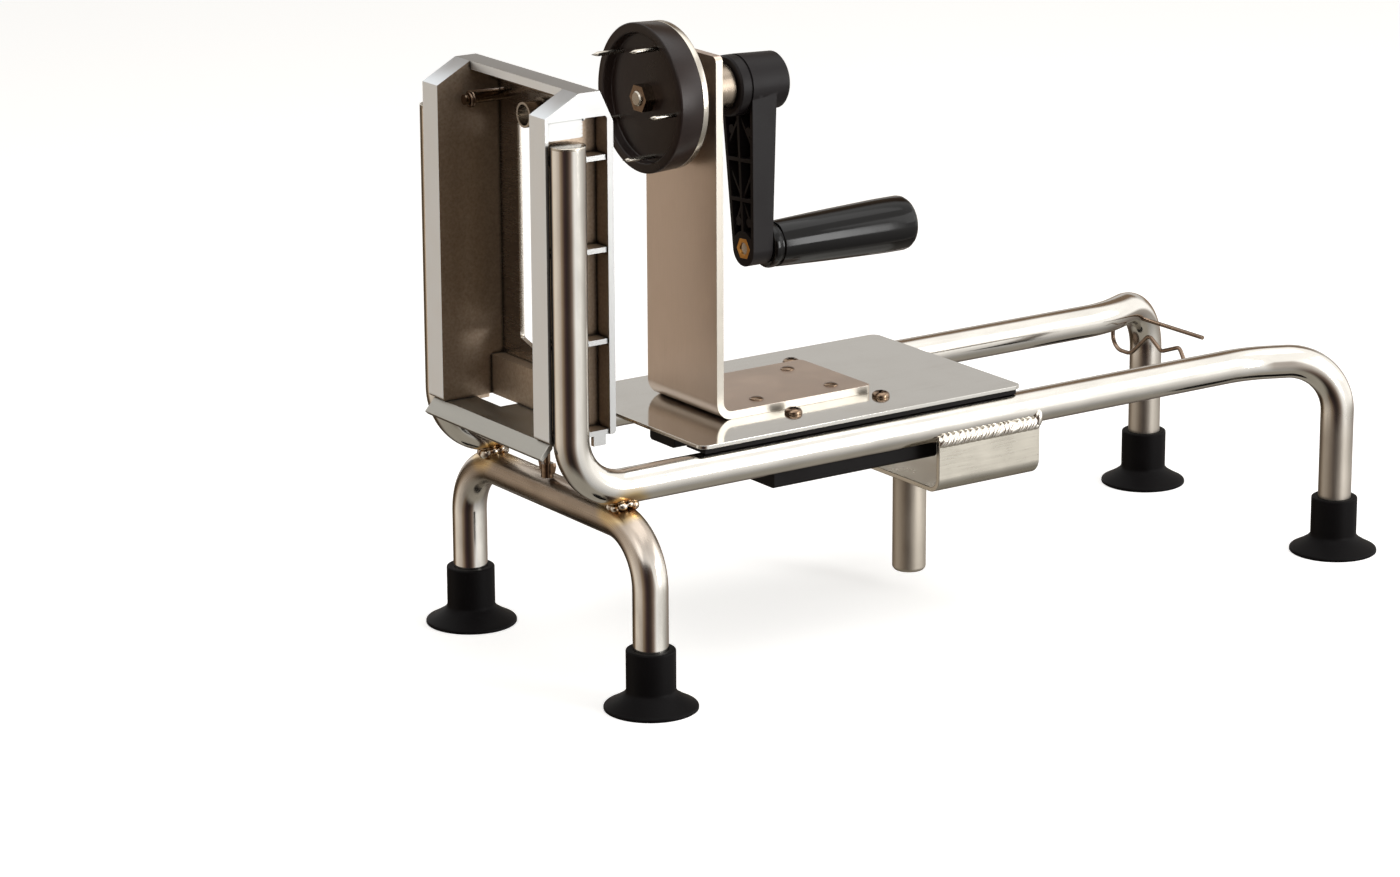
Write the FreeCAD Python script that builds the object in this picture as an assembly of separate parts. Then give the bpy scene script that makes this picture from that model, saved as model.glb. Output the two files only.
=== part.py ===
import FreeCAD, Part
import math
import os

# Hand-cranked spiral slicer. Millimetres. +X runs along the rails from the blade
# housing to the crank, +Z is up, Y = 0 is the middle plane. The origin is on the surface
# that the feet stand on, in the middle of the machine's whole length.

# ---------------------------------------------------------------- driving dimensions
# Bent tube frame
tube_diameter = 14.0
tube_wall = 1.5
rail_spacing = 93.1            # centre to centre
rail_height = 84.3             # rail centre above the table
wheelbase = 351.0              # front legs to rear legs
post_lead = 22.8               # posts stand this far in front of the front legs
post_below_axis = 2.1          # top of the capped posts below the crank's axis
front_leg_spacing = 131.4
rear_leg_spacing = 126.5
bend_radius = 23.0             # centreline of every downward or upward bend
splay_run = 37.5               # length along X over which a rail turns out to its leg
splay_bend_radius = 50.0
leg_end_height = 8.0           # tube end inside the foot
cap_thickness = 1.2
plug_depth = 9.0

# Suction feet
foot_diameter = 37.0
foot_height = 24.0
foot_sleeve_diameter = 19.5
foot_cone_height = 6.3
foot_lip = 1.4
foot_rim = 2.0                 # flat ring that meets the table
foot_hollow = 3.2

# Bracket under the rails with its centre stud
bracket_length = 51.0
bracket_sheet = 2.0
bracket_drop = 27.3            # underside of its floor below the rail centre
bracket_corner_radius = 6.5
stud_diameter = 14.0
stud_setback = 195.8           # stud axis behind the post axis
stud_bottom = 7.8
stud_chamfer = 1.2
stud_spigot_diameter = 10.0    # turned down to go into the bracket
stud_relief = 1.0              # groove under the bracket, for the weld
stud_relief_depth = 0.5

# Seat plate for the blade housing and its wing bolt
seat_gap = 0.2                 # seat plate below the casting
seat_sheet = 2.0
seat_rear = 7.0                # full width ends here, behind the post axis
tongue_rear = 24.5             # tongue for the bolt ends here
tongue_width = 30.0
lip_inset = 4.5                # lip ends this far inside the post axes
lip_drop = 4.6
lip_reach = 4.6
lip_bevel = 0.7                # of the sheet's thickness
bolt_setback = 18.6
bolt_shank_diameter = 2.6
bolt_barrel_diameter = 5.0
bolt_barrel_height = 5.6
bolt_floor_gap = 0.4           # above the cross tube
wing_span = 11.5
wing_thickness = 1.2

# Blade housing, one casting that slides down over the posts
housing_width = 87.8
housing_front = -8.2           # from the post axis
housing_rear = 22.2
housing_rise = 20.7            # underside above the rail centre
hood_rise = 16.1               # top above the crank's axis
hood_front_drop = 8.0          # height of the front chamfer
hood_front = 6.8               # where the front chamfer ends
hood_rear = 16.3
hood_rear_drop = 12.2          # height of the rear chamfer
hood_wall = 2.6
mouth_width = 66.0
web_thickness = 2.6
front_flange = 1.5
rear_flange = 2.7
window_front = 9.0             # block over the post ends here
window_drop = 9.7              # top of the side window below the hood
rib_pitch = 35.8
rib_count = 4
rib_thickness = 2.0
rib_inset = 0.8
sill_height = 16.0             # bar under the cutting plate
sill_depth = 8.0
tab_setback = 12.5
tab_length = 5.5
tab_height = 4.0
notch_count = 5
notch_depth = 0.9
block_inset = 0.6              # face of the block over the post, inside the casting's side

# Cutting plate, knife and coring tube
plate_thickness = 2.0
plate_top_gap = 0.2
slot_near = 1.0                # side of the knife
slot_far = 20.5
slot_rise = 8.5                # far lower corner above the sill
slot_end_drop = 5.5
slot_below_axis = 7.5
slot_corner_radius = 1.5
knife_thickness = 1.2
knife_land = 15.0
knife_edge_y = 17.0
knife_protrusion = 1.4         # cutting edge behind the plate's rear face
knife_end_gap = 0.8
knife_screw_pitch = 46.0
screw_head_diameter = 7.2
screw_head_height = 2.4
screw_shank_diameter = 4.0
plate_screw_margin = 0.4       # wall of the web beside a screw
plate_screw_depth = 7.0
plate_screw_inset = 9.0
corer_diameter = 10.0
corer_wall = 0.9
corer_front = 10.0             # from the post axis
corer_protrusion = 2.4
corer_collar = 2.0

# Torsion spring beside the corer
spring_y = 28.0
spring_rise = 2.3              # pin above the crank's axis
spring_front = 1.6
spring_wire = 1.1
spring_pin_gap = 0.25
spring_turns = 3
spring_arm = 23.0
spring_arm_rise = 5.0
spring_pin_diameter = 4.0

# Carriage plate and its guides
carriage_front = 57.5          # plate front edge behind the post axis
carriage_length = 157.4
carriage_width = 100.4
carriage_sheet = 1.5
carriage_corner_radius = 4.0
liner_thickness = 2.2
liner_inset = 2.5
liner_width = 13.0
liner_edge_inset = 1.2
guide_length = 80.0
guide_depth = 23.6
guide_inner = 26.0             # from the middle plane
guide_outer = 44.0
guide_chamfer = 2.0
running_gap = 0.08
guide_screw_y = 31.0
guide_screw_pitch = 43.0

# Upright and shaft bush
upright_setback = 25.0         # upright front face behind the plate's front edge
upright_width = 49.0
upright_thickness = 3.3
upright_over_axis = 18.0       # top above the crank's axis
upright_bend_radius = 4.0
upright_corner_radius = 2.5
foot_length = 75.5
rivet_front = 25.5             # from the upright's front face
rivet_pitch = 36.5
rivet_spacing = 30.0
rivet_diameter = 6.0
rivet_dome = 1.1
axis_rise = 138.8              # crank axis above the rail centre
shaft_diameter = 10.0
shaft_clearance = 0.06
bush_diameter = 19.0
bush_flange_diameter = 24.0
bush_flange = 2.5
bush_front = 6.0               # in front of the upright
bush_rear = 17.4               # behind the upright
end_float = 0.3

# Food holder
holder_diameter = 59.2
holder_depth = 10.4
holder_floor = 6.5
holder_wall = 4.0
holder_draft = 0.5
rim_round = 0.8
disc_diameter = 58.2
disc_thickness = 2.6
prong_count = 5
prong_circle_diameter = 46.0
prong_diameter = 1.8
prong_length = 15.0
prong_point = 3.0
prong_embed = 4.0
prong_first_angle = 115.0
holder_nut_width = 10.0
holder_nut_height = 4.6
shaft_thread_diameter = 6.0

# Crank arm and grip
crank_radius = 65.7
crank_rest_angle = -4.0        # the arm hangs a little off plumb
hub_front_diameter = 24.4
hub_rear_diameter = 22.8
hub_length = 24.0
hub_groove = 0.6
hub_groove_width = 1.0
arm_setback = 5.5              # arm front face behind the hub's front
arm_thickness = 11.7
arm_end_thickness = 9.4
arm_root_radius = 11.2
arm_end_radius = 7.2
arm_wall = 1.8
arm_pocket_depth = 8.2
arm_rib = 1.5
arm_rib_first = 30.0           # cross ribs below the axis
arm_rib_second = 46.0
arm_brace = 1.0                # diagonal ribs
arm_brace_run = 13.0           # along the arm, from the centre rib to a side wall
arm_brace_inset = 0.8          # behind the arm's front face
arm_pad_diameter = 3.8         # round pads for the ejector pins
arm_pad_inset = 2.4            # pad centre inside the pocket's wall
arm_pad_first = 18.5           # pads below the axis
arm_pad_second = 55.0
hub_bore_depth = 18.0
crank_screw_diameter = 5.0
crank_screw_head = 8.6
crank_screw_head_height = 3.0
insert_width = 8.0
insert_length = 7.0
insert_bore = 5.0
axle_diameter = 7.0
axle_clearance = 0.1
axle_head_diameter = 10.0
axle_head_height = 4.0
grip_length = 70.4
grip_start_diameter = 18.4
grip_end_diameter = 22.4
grip_collar = 3.4
grip_groove_width = 1.4
grip_groove_depth = 0.8
grip_end_round = 3.6
grip_cap_diameter = 11.0
grip_cap_depth = 2.4

# Spring clip through the far rail
clip_wire = 1.8
clip_lead = 11.8               # in front of the rear legs
clip_drop = 5.1                # straight leg below the rail centre
clip_hole_diameter = 3.4
clip_leg_end = 11.0            # from the middle plane
clip_loop_outer = 71.8
clip_loop_width = 12.4
clip_loop_height = 17.6
clip_loop_radius = 6.4
clip_crest_drop = 6.6          # first crest of the waved leg below the straight leg
clip_crest_run = 12.5          # from the loop to that crest
clip_wave_run = 8.5            # crest to hollow, then hollow to the second crest
clip_wave_depth = 5.4
clip_second_run = 12.0
clip_second_drop = 1.0
clip_tail_run = 4.5
clip_tail_drop = 7.6
clip_crest_radii = (7.0, 3.0, 3.0, 2.2)

# ---------------------------------------------------------------- derived places
tube_radius = tube_diameter / 2
rail_y = rail_spacing / 2
lip_root = math.sqrt(tube_radius ** 2 - lip_inset ** 2) + running_gap
lip_front = lip_root + lip_reach + seat_sheet * lip_bevel
front_leg_x = (post_lead + lip_front - wheelbase - foot_diameter / 2) / 2
rear_leg_x = front_leg_x + wheelbase
post_x = front_leg_x - post_lead
front_leg_y = front_leg_spacing / 2
rear_leg_y = rear_leg_spacing / 2
cross_tube_height = rail_height - tube_diameter
rail_top = rail_height + tube_radius
axis_height = rail_height + axis_rise
post_top = axis_height - post_below_axis
bracket_floor_height = rail_height - bracket_drop
clip_height = rail_height - clip_drop
stud_x = post_x + stud_setback
bolt_x = post_x + bolt_setback
bolt_bottom = cross_tube_height + tube_radius + bolt_floor_gap

housing_bottom = rail_height + housing_rise
housing_top = axis_height + hood_rise
housing_front_top = housing_top - hood_front_drop
housing_rear_top = housing_top - hood_rear_drop
window_top = housing_top - window_drop
seat_top = housing_bottom - seat_gap
house_y = housing_width / 2
mouth_y = mouth_width / 2
web_y = mouth_y + web_thickness
house_front_x = post_x + housing_front
house_rear_x = post_x + housing_rear
pocket_front_x = house_front_x + front_flange
pocket_rear_x = house_rear_x - rear_flange
knife_plate_rear = house_rear_x - plate_top_gap
knife_plate_front = knife_plate_rear - plate_thickness
plate_top = housing_top - 3 * hood_wall
slot_top = axis_height - slot_below_axis
sill_top = housing_bottom + sill_height
slot_bottom = sill_top + slot_rise
spring_z = axis_height + spring_rise

carriage_x = post_x + carriage_front
carriage_end_x = carriage_x + carriage_length
carriage_mid_x = carriage_x + carriage_length / 2
carriage_bottom = rail_top + running_gap + liner_thickness
carriage_top = carriage_bottom + carriage_sheet
upright_x = carriage_x + upright_setback
upright_rear_x = upright_x + upright_thickness
bush_front_x = upright_x - bush_front
bush_rear_x = upright_rear_x + bush_rear
disc_rear_x = bush_front_x - end_float
disc_front_x = disc_rear_x - disc_thickness
holder_floor_x = disc_front_x - holder_floor
holder_rim_x = disc_front_x - holder_depth
hub_x = bush_rear_x + end_float
hub_end_x = hub_x + hub_length
arm_x = hub_x + arm_setback
grip_x = arm_x + arm_end_thickness + end_float
grip_end_x = grip_x + grip_length
clip_x = rear_leg_x - clip_lead


# ---------------------------------------------------------------- shape helpers
def vec(x, y, z):
    return FreeCAD.Vector(x, y, z)


def box(x0, x1, y0, y1, z0, z1):
    return Part.makeBox(x1 - x0, y1 - y0, z1 - z0, vec(x0, y0, z0))


def rod(start, end, radius):
    """Cylinder between two points."""
    axis = end - start
    return Part.makeCylinder(radius, axis.Length, start, axis)


def prism(points, direction):
    """Flat outline, given as vectors, pushed along a vector."""
    outline = Part.makePolygon(points + [points[0]])
    return Part.Face(outline).extrude(direction)


def prism_y(points, y0, y1):
    return prism([vec(x, y0, z) for x, z in points], vec(0, y1 - y0, 0))


def prism_z(points, z0, z1):
    return prism([vec(x, y, z0) for x, y in points], vec(0, 0, z1 - z0))


def turned_x(points, y, z):
    """Solid turned about a line along X: points are (x, radius)."""
    outline = [vec(x, y, z + r) for x, r in points]
    face = Part.Face(Part.makePolygon(outline + [outline[0]]))
    return face.revolve(vec(0, y, z), vec(1, 0, 0), 360)


def turned_z(points, x, y):
    """Solid turned about a vertical line: points are (radius, z)."""
    outline = [vec(x + r, y, z) for r, z in points]
    face = Part.Face(Part.makePolygon(outline + [outline[0]]))
    return face.revolve(vec(x, y, 0), vec(0, 0, 1), 360)


def hexagon_x(x0, x1, y, z, width):
    """Hexagonal prism along X, width across flats."""
    corner = width / math.sqrt(3)
    turns = [math.radians(60 * i) for i in range(6)]
    points = [vec(x0, y + corner * math.cos(t), z + corner * math.sin(t)) for t in turns]
    return prism(points, vec(x1 - x0, 0, 0))


def bent_rod(points, radii, radius):
    """Round bar of straight runs and tangent bends, one bend radius for each inner point."""
    bars = []
    start = points[0]
    for i, bend in enumerate(radii):
        corner = points[i + 1]
        back = (points[i] - corner).normalize()
        ahead = (points[i + 2] - corner).normalize()
        half = back.getAngle(ahead) / 2
        reach = bend / math.tan(half)
        centre = corner + (back + ahead).normalize() * (bend / math.sin(half))
        arc_start = corner + back * reach
        axis = (arc_start - centre).cross(back * -1)
        section = Part.Face(Part.Wire(Part.makeCircle(radius, arc_start, back)))
        bars.append(rod(start, arc_start, radius))
        bars.append(section.revolve(centre, axis, 180 - 2 * math.degrees(half)))
        start = corner + ahead * reach
    bars.append(rod(start, points[-1], radius))
    return fused(bars)


def bent_tube(points, radii):
    return bent_rod(points, radii, tube_radius).cut(
        bent_rod(points, radii, tube_radius - tube_wall))


def mirrored(shape):
    """Copy on the other side of the middle plane."""
    return shape.mirror(vec(0, 0, 0), vec(0, 1, 0))


def both_sides(shape):
    return [shape, mirrored(shape)]


def fused(shapes):
    return shapes[0].fuse(shapes[1:]).removeSplitter()


def group(shapes):
    return Part.makeCompound(shapes)


def edges_where(shape, test):
    return [edge for edge in shape.Edges if test(edge)]


def runs_along(edge, axis):
    if not isinstance(edge.Curve, Part.Line):
        return False
    return edge.Curve.Direction.cross(axis).Length < 1e-6


X_AXIS = vec(1, 0, 0)
Y_AXIS = vec(0, 1, 0)
Z_AXIS = vec(0, 0, 1)


# ---------------------------------------------------------------- frame
def rail_tube(side):
    """One bent tube: post, rail and splayed rear leg."""
    y = side * rail_y
    leg_y = side * rear_leg_y
    points = [
        vec(post_x, y, post_top - cap_thickness),
        vec(post_x, y, rail_height),
        vec(rear_leg_x - splay_run, y, rail_height),
        vec(rear_leg_x, leg_y, rail_height),
        vec(rear_leg_x, leg_y, leg_end_height),
    ]
    return bent_tube(points, [bend_radius, splay_bend_radius, bend_radius])


def far_rail_tube():
    hole = rod(vec(clip_x, 0, clip_height), vec(clip_x, 2 * rail_y, clip_height),
               clip_hole_diameter / 2)
    return rail_tube(1).cut(hole)


def front_leg_tube():
    points = [
        vec(front_leg_x, -front_leg_y, leg_end_height),
        vec(front_leg_x, -front_leg_y, cross_tube_height),
        vec(front_leg_x, front_leg_y, cross_tube_height),
        vec(front_leg_x, front_leg_y, leg_end_height),
    ]
    return bent_tube(points, [bend_radius, bend_radius])


def post_cap():
    """Pressed end cap: a thin disc on a plug that fills the tube's bore."""
    bore = tube_radius - tube_wall
    top = post_top
    seat = post_top - cap_thickness
    rim = cap_thickness / 3
    points = [
        (0, seat - plug_depth), (bore, seat - plug_depth), (bore, seat),
        (tube_radius, seat), (tube_radius, top - rim), (tube_radius - rim, top), (0, top),
    ]
    return turned_z(points, post_x, rail_y)


def suction_foot(x, y):
    """Rubber foot: a sleeve over the tube end, a cone and a hollow sucker."""
    edge = foot_diameter / 2
    sleeve = foot_sleeve_diameter / 2
    bevel = foot_lip / 2
    points = [
        (0, foot_hollow), (edge * 0.55, foot_hollow * 0.8), (edge - foot_rim, 0), (edge, 0),
        (edge, foot_lip), (sleeve + foot_lip, foot_cone_height), (sleeve, foot_cone_height + 1),
        (sleeve, foot_height - bevel), (sleeve - bevel, foot_height),
        (tube_radius, foot_height), (tube_radius, leg_end_height), (0, leg_end_height),
    ]
    return turned_z(points, x, y)


def leg_bracket():
    """Sheet bent to a wide U, open upward, with its walls under the rails."""
    outer_y = rail_y + tube_radius
    inner_y = outer_y - bracket_sheet
    wall_top = rail_height - math.sqrt(tube_radius ** 2 - (inner_y - rail_y) ** 2)
    x0 = stud_x - bracket_length / 2
    x1 = stud_x + bracket_length / 2
    outside = box(x0, x1, -outer_y, outer_y, bracket_floor_height, wall_top)
    corners = edges_where(outside, lambda e: runs_along(e, X_AXIS)
                          and abs(e.CenterOfMass.z - bracket_floor_height) < 1e-6)
    outside = outside.makeFillet(bracket_corner_radius, corners)
    inside = box(x0 - 1, x1 + 1, -inner_y, inner_y,
                 bracket_floor_height + bracket_sheet, wall_top + 1)
    bends = edges_where(inside, lambda e: runs_along(e, X_AXIS)
                        and e.CenterOfMass.z < bracket_floor_height + bracket_sheet + 1e-6)
    inside = inside.makeFillet(bracket_corner_radius - bracket_sheet, bends)
    hole = rod(vec(stud_x, 0, bracket_floor_height - 1),
               vec(stud_x, 0, wall_top), stud_spigot_diameter / 2)
    return outside.cut(inside).cut(hole)


def centre_stud():
    """Solid bar let into the bracket floor."""
    radius = stud_diameter / 2
    spigot = stud_spigot_diameter / 2
    relief = radius - stud_relief_depth
    shoulder = bracket_floor_height
    top = bracket_floor_height + bracket_sheet
    points = [
        (0, stud_bottom), (radius - stud_chamfer, stud_bottom),
        (radius, stud_bottom + stud_chamfer), (radius, shoulder - stud_relief),
        (relief, shoulder - stud_relief), (relief, shoulder), (spigot, shoulder),
        (spigot, top), (0, top),
    ]
    return turned_z(points, stud_x, 0)


def housing_seat():
    """Plate welded between the posts, with a lip that sheds the ribbons and a bolt tongue."""
    inner = rail_y - tube_radius
    lip_y = rail_y - lip_inset
    low = seat_top - seat_sheet
    lip_x = post_x - lip_root
    bevel = seat_sheet * lip_bevel
    flat = box(lip_x, post_x + seat_rear, -inner, inner, low, seat_top)
    tongue = box(post_x, post_x + tongue_rear, -tongue_width / 2, tongue_width / 2, low, seat_top)
    rounded = edges_where(tongue, lambda e: runs_along(e, Z_AXIS) and e.CenterOfMass.x > post_x + 1)
    tongue = tongue.makeFillet(tongue_width / 6, rounded)
    slant = [
        (lip_x, seat_top), (lip_x, low), (lip_x - lip_reach, low - lip_drop),
        (lip_x - lip_reach - bevel, low - lip_drop + bevel), (lip_x - bevel, seat_top),
    ]
    lip = prism_y(slant, -lip_y, lip_y)
    hole = rod(vec(bolt_x, 0, low - 1), vec(bolt_x, 0, seat_top + 1),
               bolt_shank_diameter / 2 + running_gap)
    return fused([flat, tongue, lip]).cut(hole)


def wing_bolt():
    """Screw with a round barrel and two thin wings under the seat plate."""
    top = housing_bottom + bolt_barrel_height
    barrel = rod(vec(bolt_x, 0, bolt_bottom),
                 vec(bolt_x, 0, bolt_bottom + bolt_barrel_height), bolt_barrel_diameter / 2)
    shank = rod(vec(bolt_x, 0, bolt_bottom + bolt_barrel_height), vec(bolt_x, 0, top),
                bolt_shank_diameter / 2)
    half = wing_span / 2
    low = bolt_bottom + bolt_barrel_height * 0.25
    high = bolt_bottom + bolt_barrel_height * 1.2
    root = bolt_barrel_diameter / 2 - 0.4
    blade = [vec(bolt_x - wing_thickness / 2, y, z) for y, z in (
        (root, low), (half * 0.8, low + 0.8), (half, high - 1.2), (half * 0.9, high), (root, high - 1))]
    wing = prism(blade, vec(wing_thickness, 0, 0))
    return fused([barrel, shank] + both_sides(wing))


# ---------------------------------------------------------------- blade housing
def housing_outline(front_x, inset):
    """Side view of the casting from a front face, moved in from the outside by a wall."""
    slope = inset * 0.55
    return [
        (front_x, housing_bottom),
        (front_x, housing_front_top - inset),
        (post_x + hood_front + slope, housing_top - inset),
        (post_x + hood_rear - slope, housing_top - inset),
        (house_rear_x - inset, housing_rear_top - slope),
        (house_rear_x - inset, housing_bottom),
    ]


def side_pocket():
    """Space in one side wall for the post and the open window behind it."""
    post_part = box(pocket_front_x, post_x + window_front, web_y, house_y + 1,
                    housing_bottom - 1, post_top)
    window = box(post_x + window_front - 0.1, pocket_rear_x, web_y, house_y + 1,
                 housing_bottom - 1, window_top)
    corner = edges_where(window, lambda e: runs_along(e, Y_AXIS)
                         and e.CenterOfMass.z > window_top - 1e-6)
    window = window.makeFillet(1.5, corner)
    over_post = box(pocket_front_x, post_x + window_front, house_y - block_inset, house_y + 1,
                    post_top - 1, window_top)
    pocket = fused([post_part, window, over_post])
    post_space = rod(vec(post_x, rail_y, housing_bottom - 2),
                     vec(post_x, rail_y, post_top), tube_radius + 1)
    for i in range(rib_count):
        z = housing_bottom + i * rib_pitch
        rib = box(pocket_front_x - 1, pocket_rear_x + 1, web_y - 1, house_y - rib_inset,
                  z, z + rib_thickness)
        pocket = pocket.cut(rib.cut(post_space))
    return pocket


def blade_housing():
    body = prism_y(housing_outline(house_front_x, 0), -house_y, house_y)
    upright_edges = edges_where(body, lambda e: runs_along(e, Y_AXIS)
                                and e.CenterOfMass.z < housing_bottom + 1e-6)
    body = body.makeFillet(1.5, upright_edges)
    mouth = prism_y(housing_outline(house_front_x - 1, hood_wall), -mouth_y, mouth_y)
    body = body.cut(mouth)
    # open rear, with a rebate that seats the cutting plate on the two webs
    rear = box(knife_plate_front - 4, house_rear_x + 1, -mouth_y, mouth_y,
               housing_bottom - 1, plate_top)
    rebate = box(knife_plate_front, house_rear_x + 1, -web_y, web_y,
                 sill_top, plate_top + running_gap)
    hood_window = prism_y([
        (house_front_x - 1, housing_front_top - hood_wall - 1),
        (house_front_x - 1, housing_top + 1),
        (post_x + hood_front, housing_top + 1),
        (post_x + hood_front, housing_top - hood_wall - 1),
    ], -mouth_y, mouth_y)
    body = body.cut(rear).cut(rebate).cut(hood_window)
    for pocket in both_sides(side_pocket()):
        body = body.cut(pocket)
    # sill under the cutting plate, which the wing bolt screws into
    sill = box(house_rear_x - sill_depth, house_rear_x - plate_top_gap, -mouth_y - 1, mouth_y + 1,
               housing_bottom, sill_top)
    tab = box(post_x + tab_setback, post_x + tab_setback + tab_length,
              house_y - rib_inset - rib_thickness, house_y - rib_inset,
              housing_bottom - tab_height, housing_bottom + rib_thickness)
    body = body.fuse([sill] + both_sides(tab))
    thread = rod(vec(bolt_x, 0, housing_bottom - 1),
                 vec(bolt_x, 0, housing_bottom + bolt_barrel_height),
                 bolt_shank_diameter / 2)
    body = body.cut(thread)
    # fine notches on the rear edge of the block over each post
    notch_pitch = (window_top - post_top) / (notch_count + 1)
    for i in range(notch_count):
        z = post_top + (i + 1) * notch_pitch
        x = post_x + window_front
        points = [(x - notch_depth, z), (x + 1, z - notch_pitch * 0.35), (x + 1, z + notch_pitch * 0.35)]
        for notch in both_sides(prism_y(points, web_y + 1, house_y + 1)):
            body = body.cut(notch)
    for hole in plate_screw_shapes():
        body = body.cut(hole)
    return body.removeSplitter()


def plate_screw_places():
    y = web_y - web_thickness / 2
    low = sill_top + plate_screw_inset
    high = plate_top - plate_screw_inset
    return [(side * y, z) for side in (-1, 1) for z in (low, high)]


def plate_screw_shapes():
    """Small flush screws that hold the plate to the webs."""
    radius = web_thickness / 2 - plate_screw_margin
    shapes = []
    for y, z in plate_screw_places():
        shapes.append(rod(vec(knife_plate_rear, y, z),
                          vec(knife_plate_rear - plate_screw_depth, y, z), radius))
    return shapes


def cutting_plate():
    plate = box(knife_plate_front, knife_plate_rear, -web_y + running_gap, web_y - running_gap,
                sill_top, plate_top)
    x = knife_plate_front - 1
    slot = prism([vec(x, slot_far, slot_top), vec(x, slot_far, slot_bottom),
                  vec(x, slot_near, slot_bottom - slot_end_drop), vec(x, slot_near, slot_top)],
                 vec(plate_thickness + 2, 0, 0))
    slot = slot.makeFillet(slot_corner_radius, edges_where(slot, lambda e: runs_along(e, X_AXIS)))
    corer = rod(vec(knife_plate_front - 1, 0, axis_height),
                vec(knife_plate_rear + 1, 0, axis_height), corer_diameter / 2)
    plate = plate.cut(slot).cut(corer)
    for tool in plate_screw_shapes() + knife_screw_shanks():
        plate = plate.cut(tool)
    return plate


def knife_screw_places():
    middle = (slot_bottom + slot_top) / 2
    y = slot_near - knife_land / 2
    return [(y, middle - knife_screw_pitch / 2), (y, middle + knife_screw_pitch / 2)]


def knife_screw_shanks():
    return [rod(vec(knife_plate_front - knife_thickness, y, z), vec(knife_plate_rear, y, z),
                screw_shank_diameter / 2) for y, z in knife_screw_places()]


def straight_knife():
    """Bent strip: a land on the plate's front and a blade that slants through the slot."""
    x0 = knife_plate_front
    edge_x = knife_plate_rear + knife_protrusion
    bevel = 2.2 * knife_thickness
    points = [
        (x0, slot_near - knife_land), (x0, slot_near), (edge_x, knife_edge_y),
        (edge_x - knife_thickness, knife_edge_y - bevel),
        (x0 - knife_thickness, slot_near + 0.3),
        (x0 - knife_thickness, slot_near - knife_land),
    ]
    knife = prism_z(points, slot_bottom + knife_end_gap, slot_top - knife_end_gap)
    for shank in knife_screw_shanks():
        knife = knife.cut(shank)
    return knife


def pan_screw(base, direction, grip_depth):
    """Low domed head on a shank that goes the other way."""
    head = screw_head_diameter / 2
    shank = screw_shank_diameter / 2
    outline = [
        vec(-grip_depth, 0, 0), vec(-grip_depth, 0, shank), vec(0, 0, shank), vec(0, 0, head),
        vec(screw_head_height * 0.45, 0, head), vec(screw_head_height, 0, head * 0.5),
        vec(screw_head_height, 0, 0),
    ]
    face = Part.Face(Part.makePolygon(outline + [outline[0]]))
    screw = face.revolve(vec(0, 0, 0), X_AXIS, 360)
    screw.Placement = FreeCAD.Placement(base, FreeCAD.Rotation(X_AXIS, direction))
    return screw


def knife_screws():
    x = knife_plate_front - knife_thickness
    depth = knife_thickness + plate_thickness
    return [pan_screw(vec(x, y, z), vec(-1, 0, 0), depth) for y, z in knife_screw_places()]


def coring_tube():
    """Thin tube at the crank's axis, sharpened towards the food."""
    outer = corer_diameter / 2
    inner = outer - corer_wall
    tip = knife_plate_rear + corer_protrusion
    x0 = post_x + corer_front
    collar = outer + corer_wall
    points = [
        (x0, inner), (x0, outer), (knife_plate_front - corer_collar, outer),
        (knife_plate_front - corer_collar, collar), (knife_plate_front, collar),
        (knife_plate_front, outer), (tip - 2 * corer_wall, outer), (tip, inner + 0.1), (tip, inner),
    ]
    return turned_x(points, 0, axis_height)


def spring_pin():
    return rod(vec(post_x + spring_front - 1, spring_y, spring_z),
               vec(knife_plate_front, spring_y, spring_z), spring_pin_diameter / 2)


def latch_spring():
    """Close-wound coil on its pin, with two arms that bear up under the hood."""
    wire = spring_wire / 2
    inner = spring_pin_diameter / 2 + spring_pin_gap
    mean = inner + wire
    first = post_x + spring_front + spring_wire
    outline = [(first - wire, inner)]
    for i in range(spring_turns):
        for turn in (0.0, 60.0, 120.0):
            x = first + i * spring_wire - wire * math.cos(math.radians(turn))
            outline.append((x, mean + wire * math.sin(math.radians(turn))))
    last = first + (spring_turns - 1) * spring_wire
    outline += [(last + wire, mean), (last + wire, inner)]
    coil = turned_x(outline, spring_y, spring_z)
    arms = []
    for x in (first, last):
        start = vec(x, spring_y, spring_z + mean)
        end = vec(x, spring_y - spring_arm, spring_z + mean + spring_arm_rise)
        arms.append(rod(start, end, wire))
    return fused([coil] + arms)


# ---------------------------------------------------------------- carriage
def guide_screw_places(side):
    middle = carriage_mid_x
    return [(middle + s * guide_screw_pitch / 2, side * guide_screw_y) for s in (-1, 1)]


def upright_rivet_places():
    return [(upright_x + rivet_front + i * rivet_pitch, s * rivet_spacing / 2)
            for i in (0, 1) for s in (-1, 1)]


def vertical_shank(x, y, bottom, top, diameter):
    return rod(vec(x, y, bottom), vec(x, y, top), diameter / 2)


def carriage_plate():
    half = carriage_width / 2
    plate = box(carriage_x, carriage_end_x, -half, half, carriage_bottom, carriage_top)
    plate = plate.makeFillet(carriage_corner_radius,
                             edges_where(plate, lambda e: runs_along(e, Z_AXIS)))
    for side in (-1, 1):
        for x, y in guide_screw_places(side):
            plate = plate.cut(vertical_shank(x, y, carriage_bottom - 1, carriage_top + 1,
                                             screw_shank_diameter))
    for x, y in upright_rivet_places():
        plate = plate.cut(vertical_shank(x, y, carriage_bottom - 1, carriage_top + 1,
                                         rivet_diameter / 2))
    return plate


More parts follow.
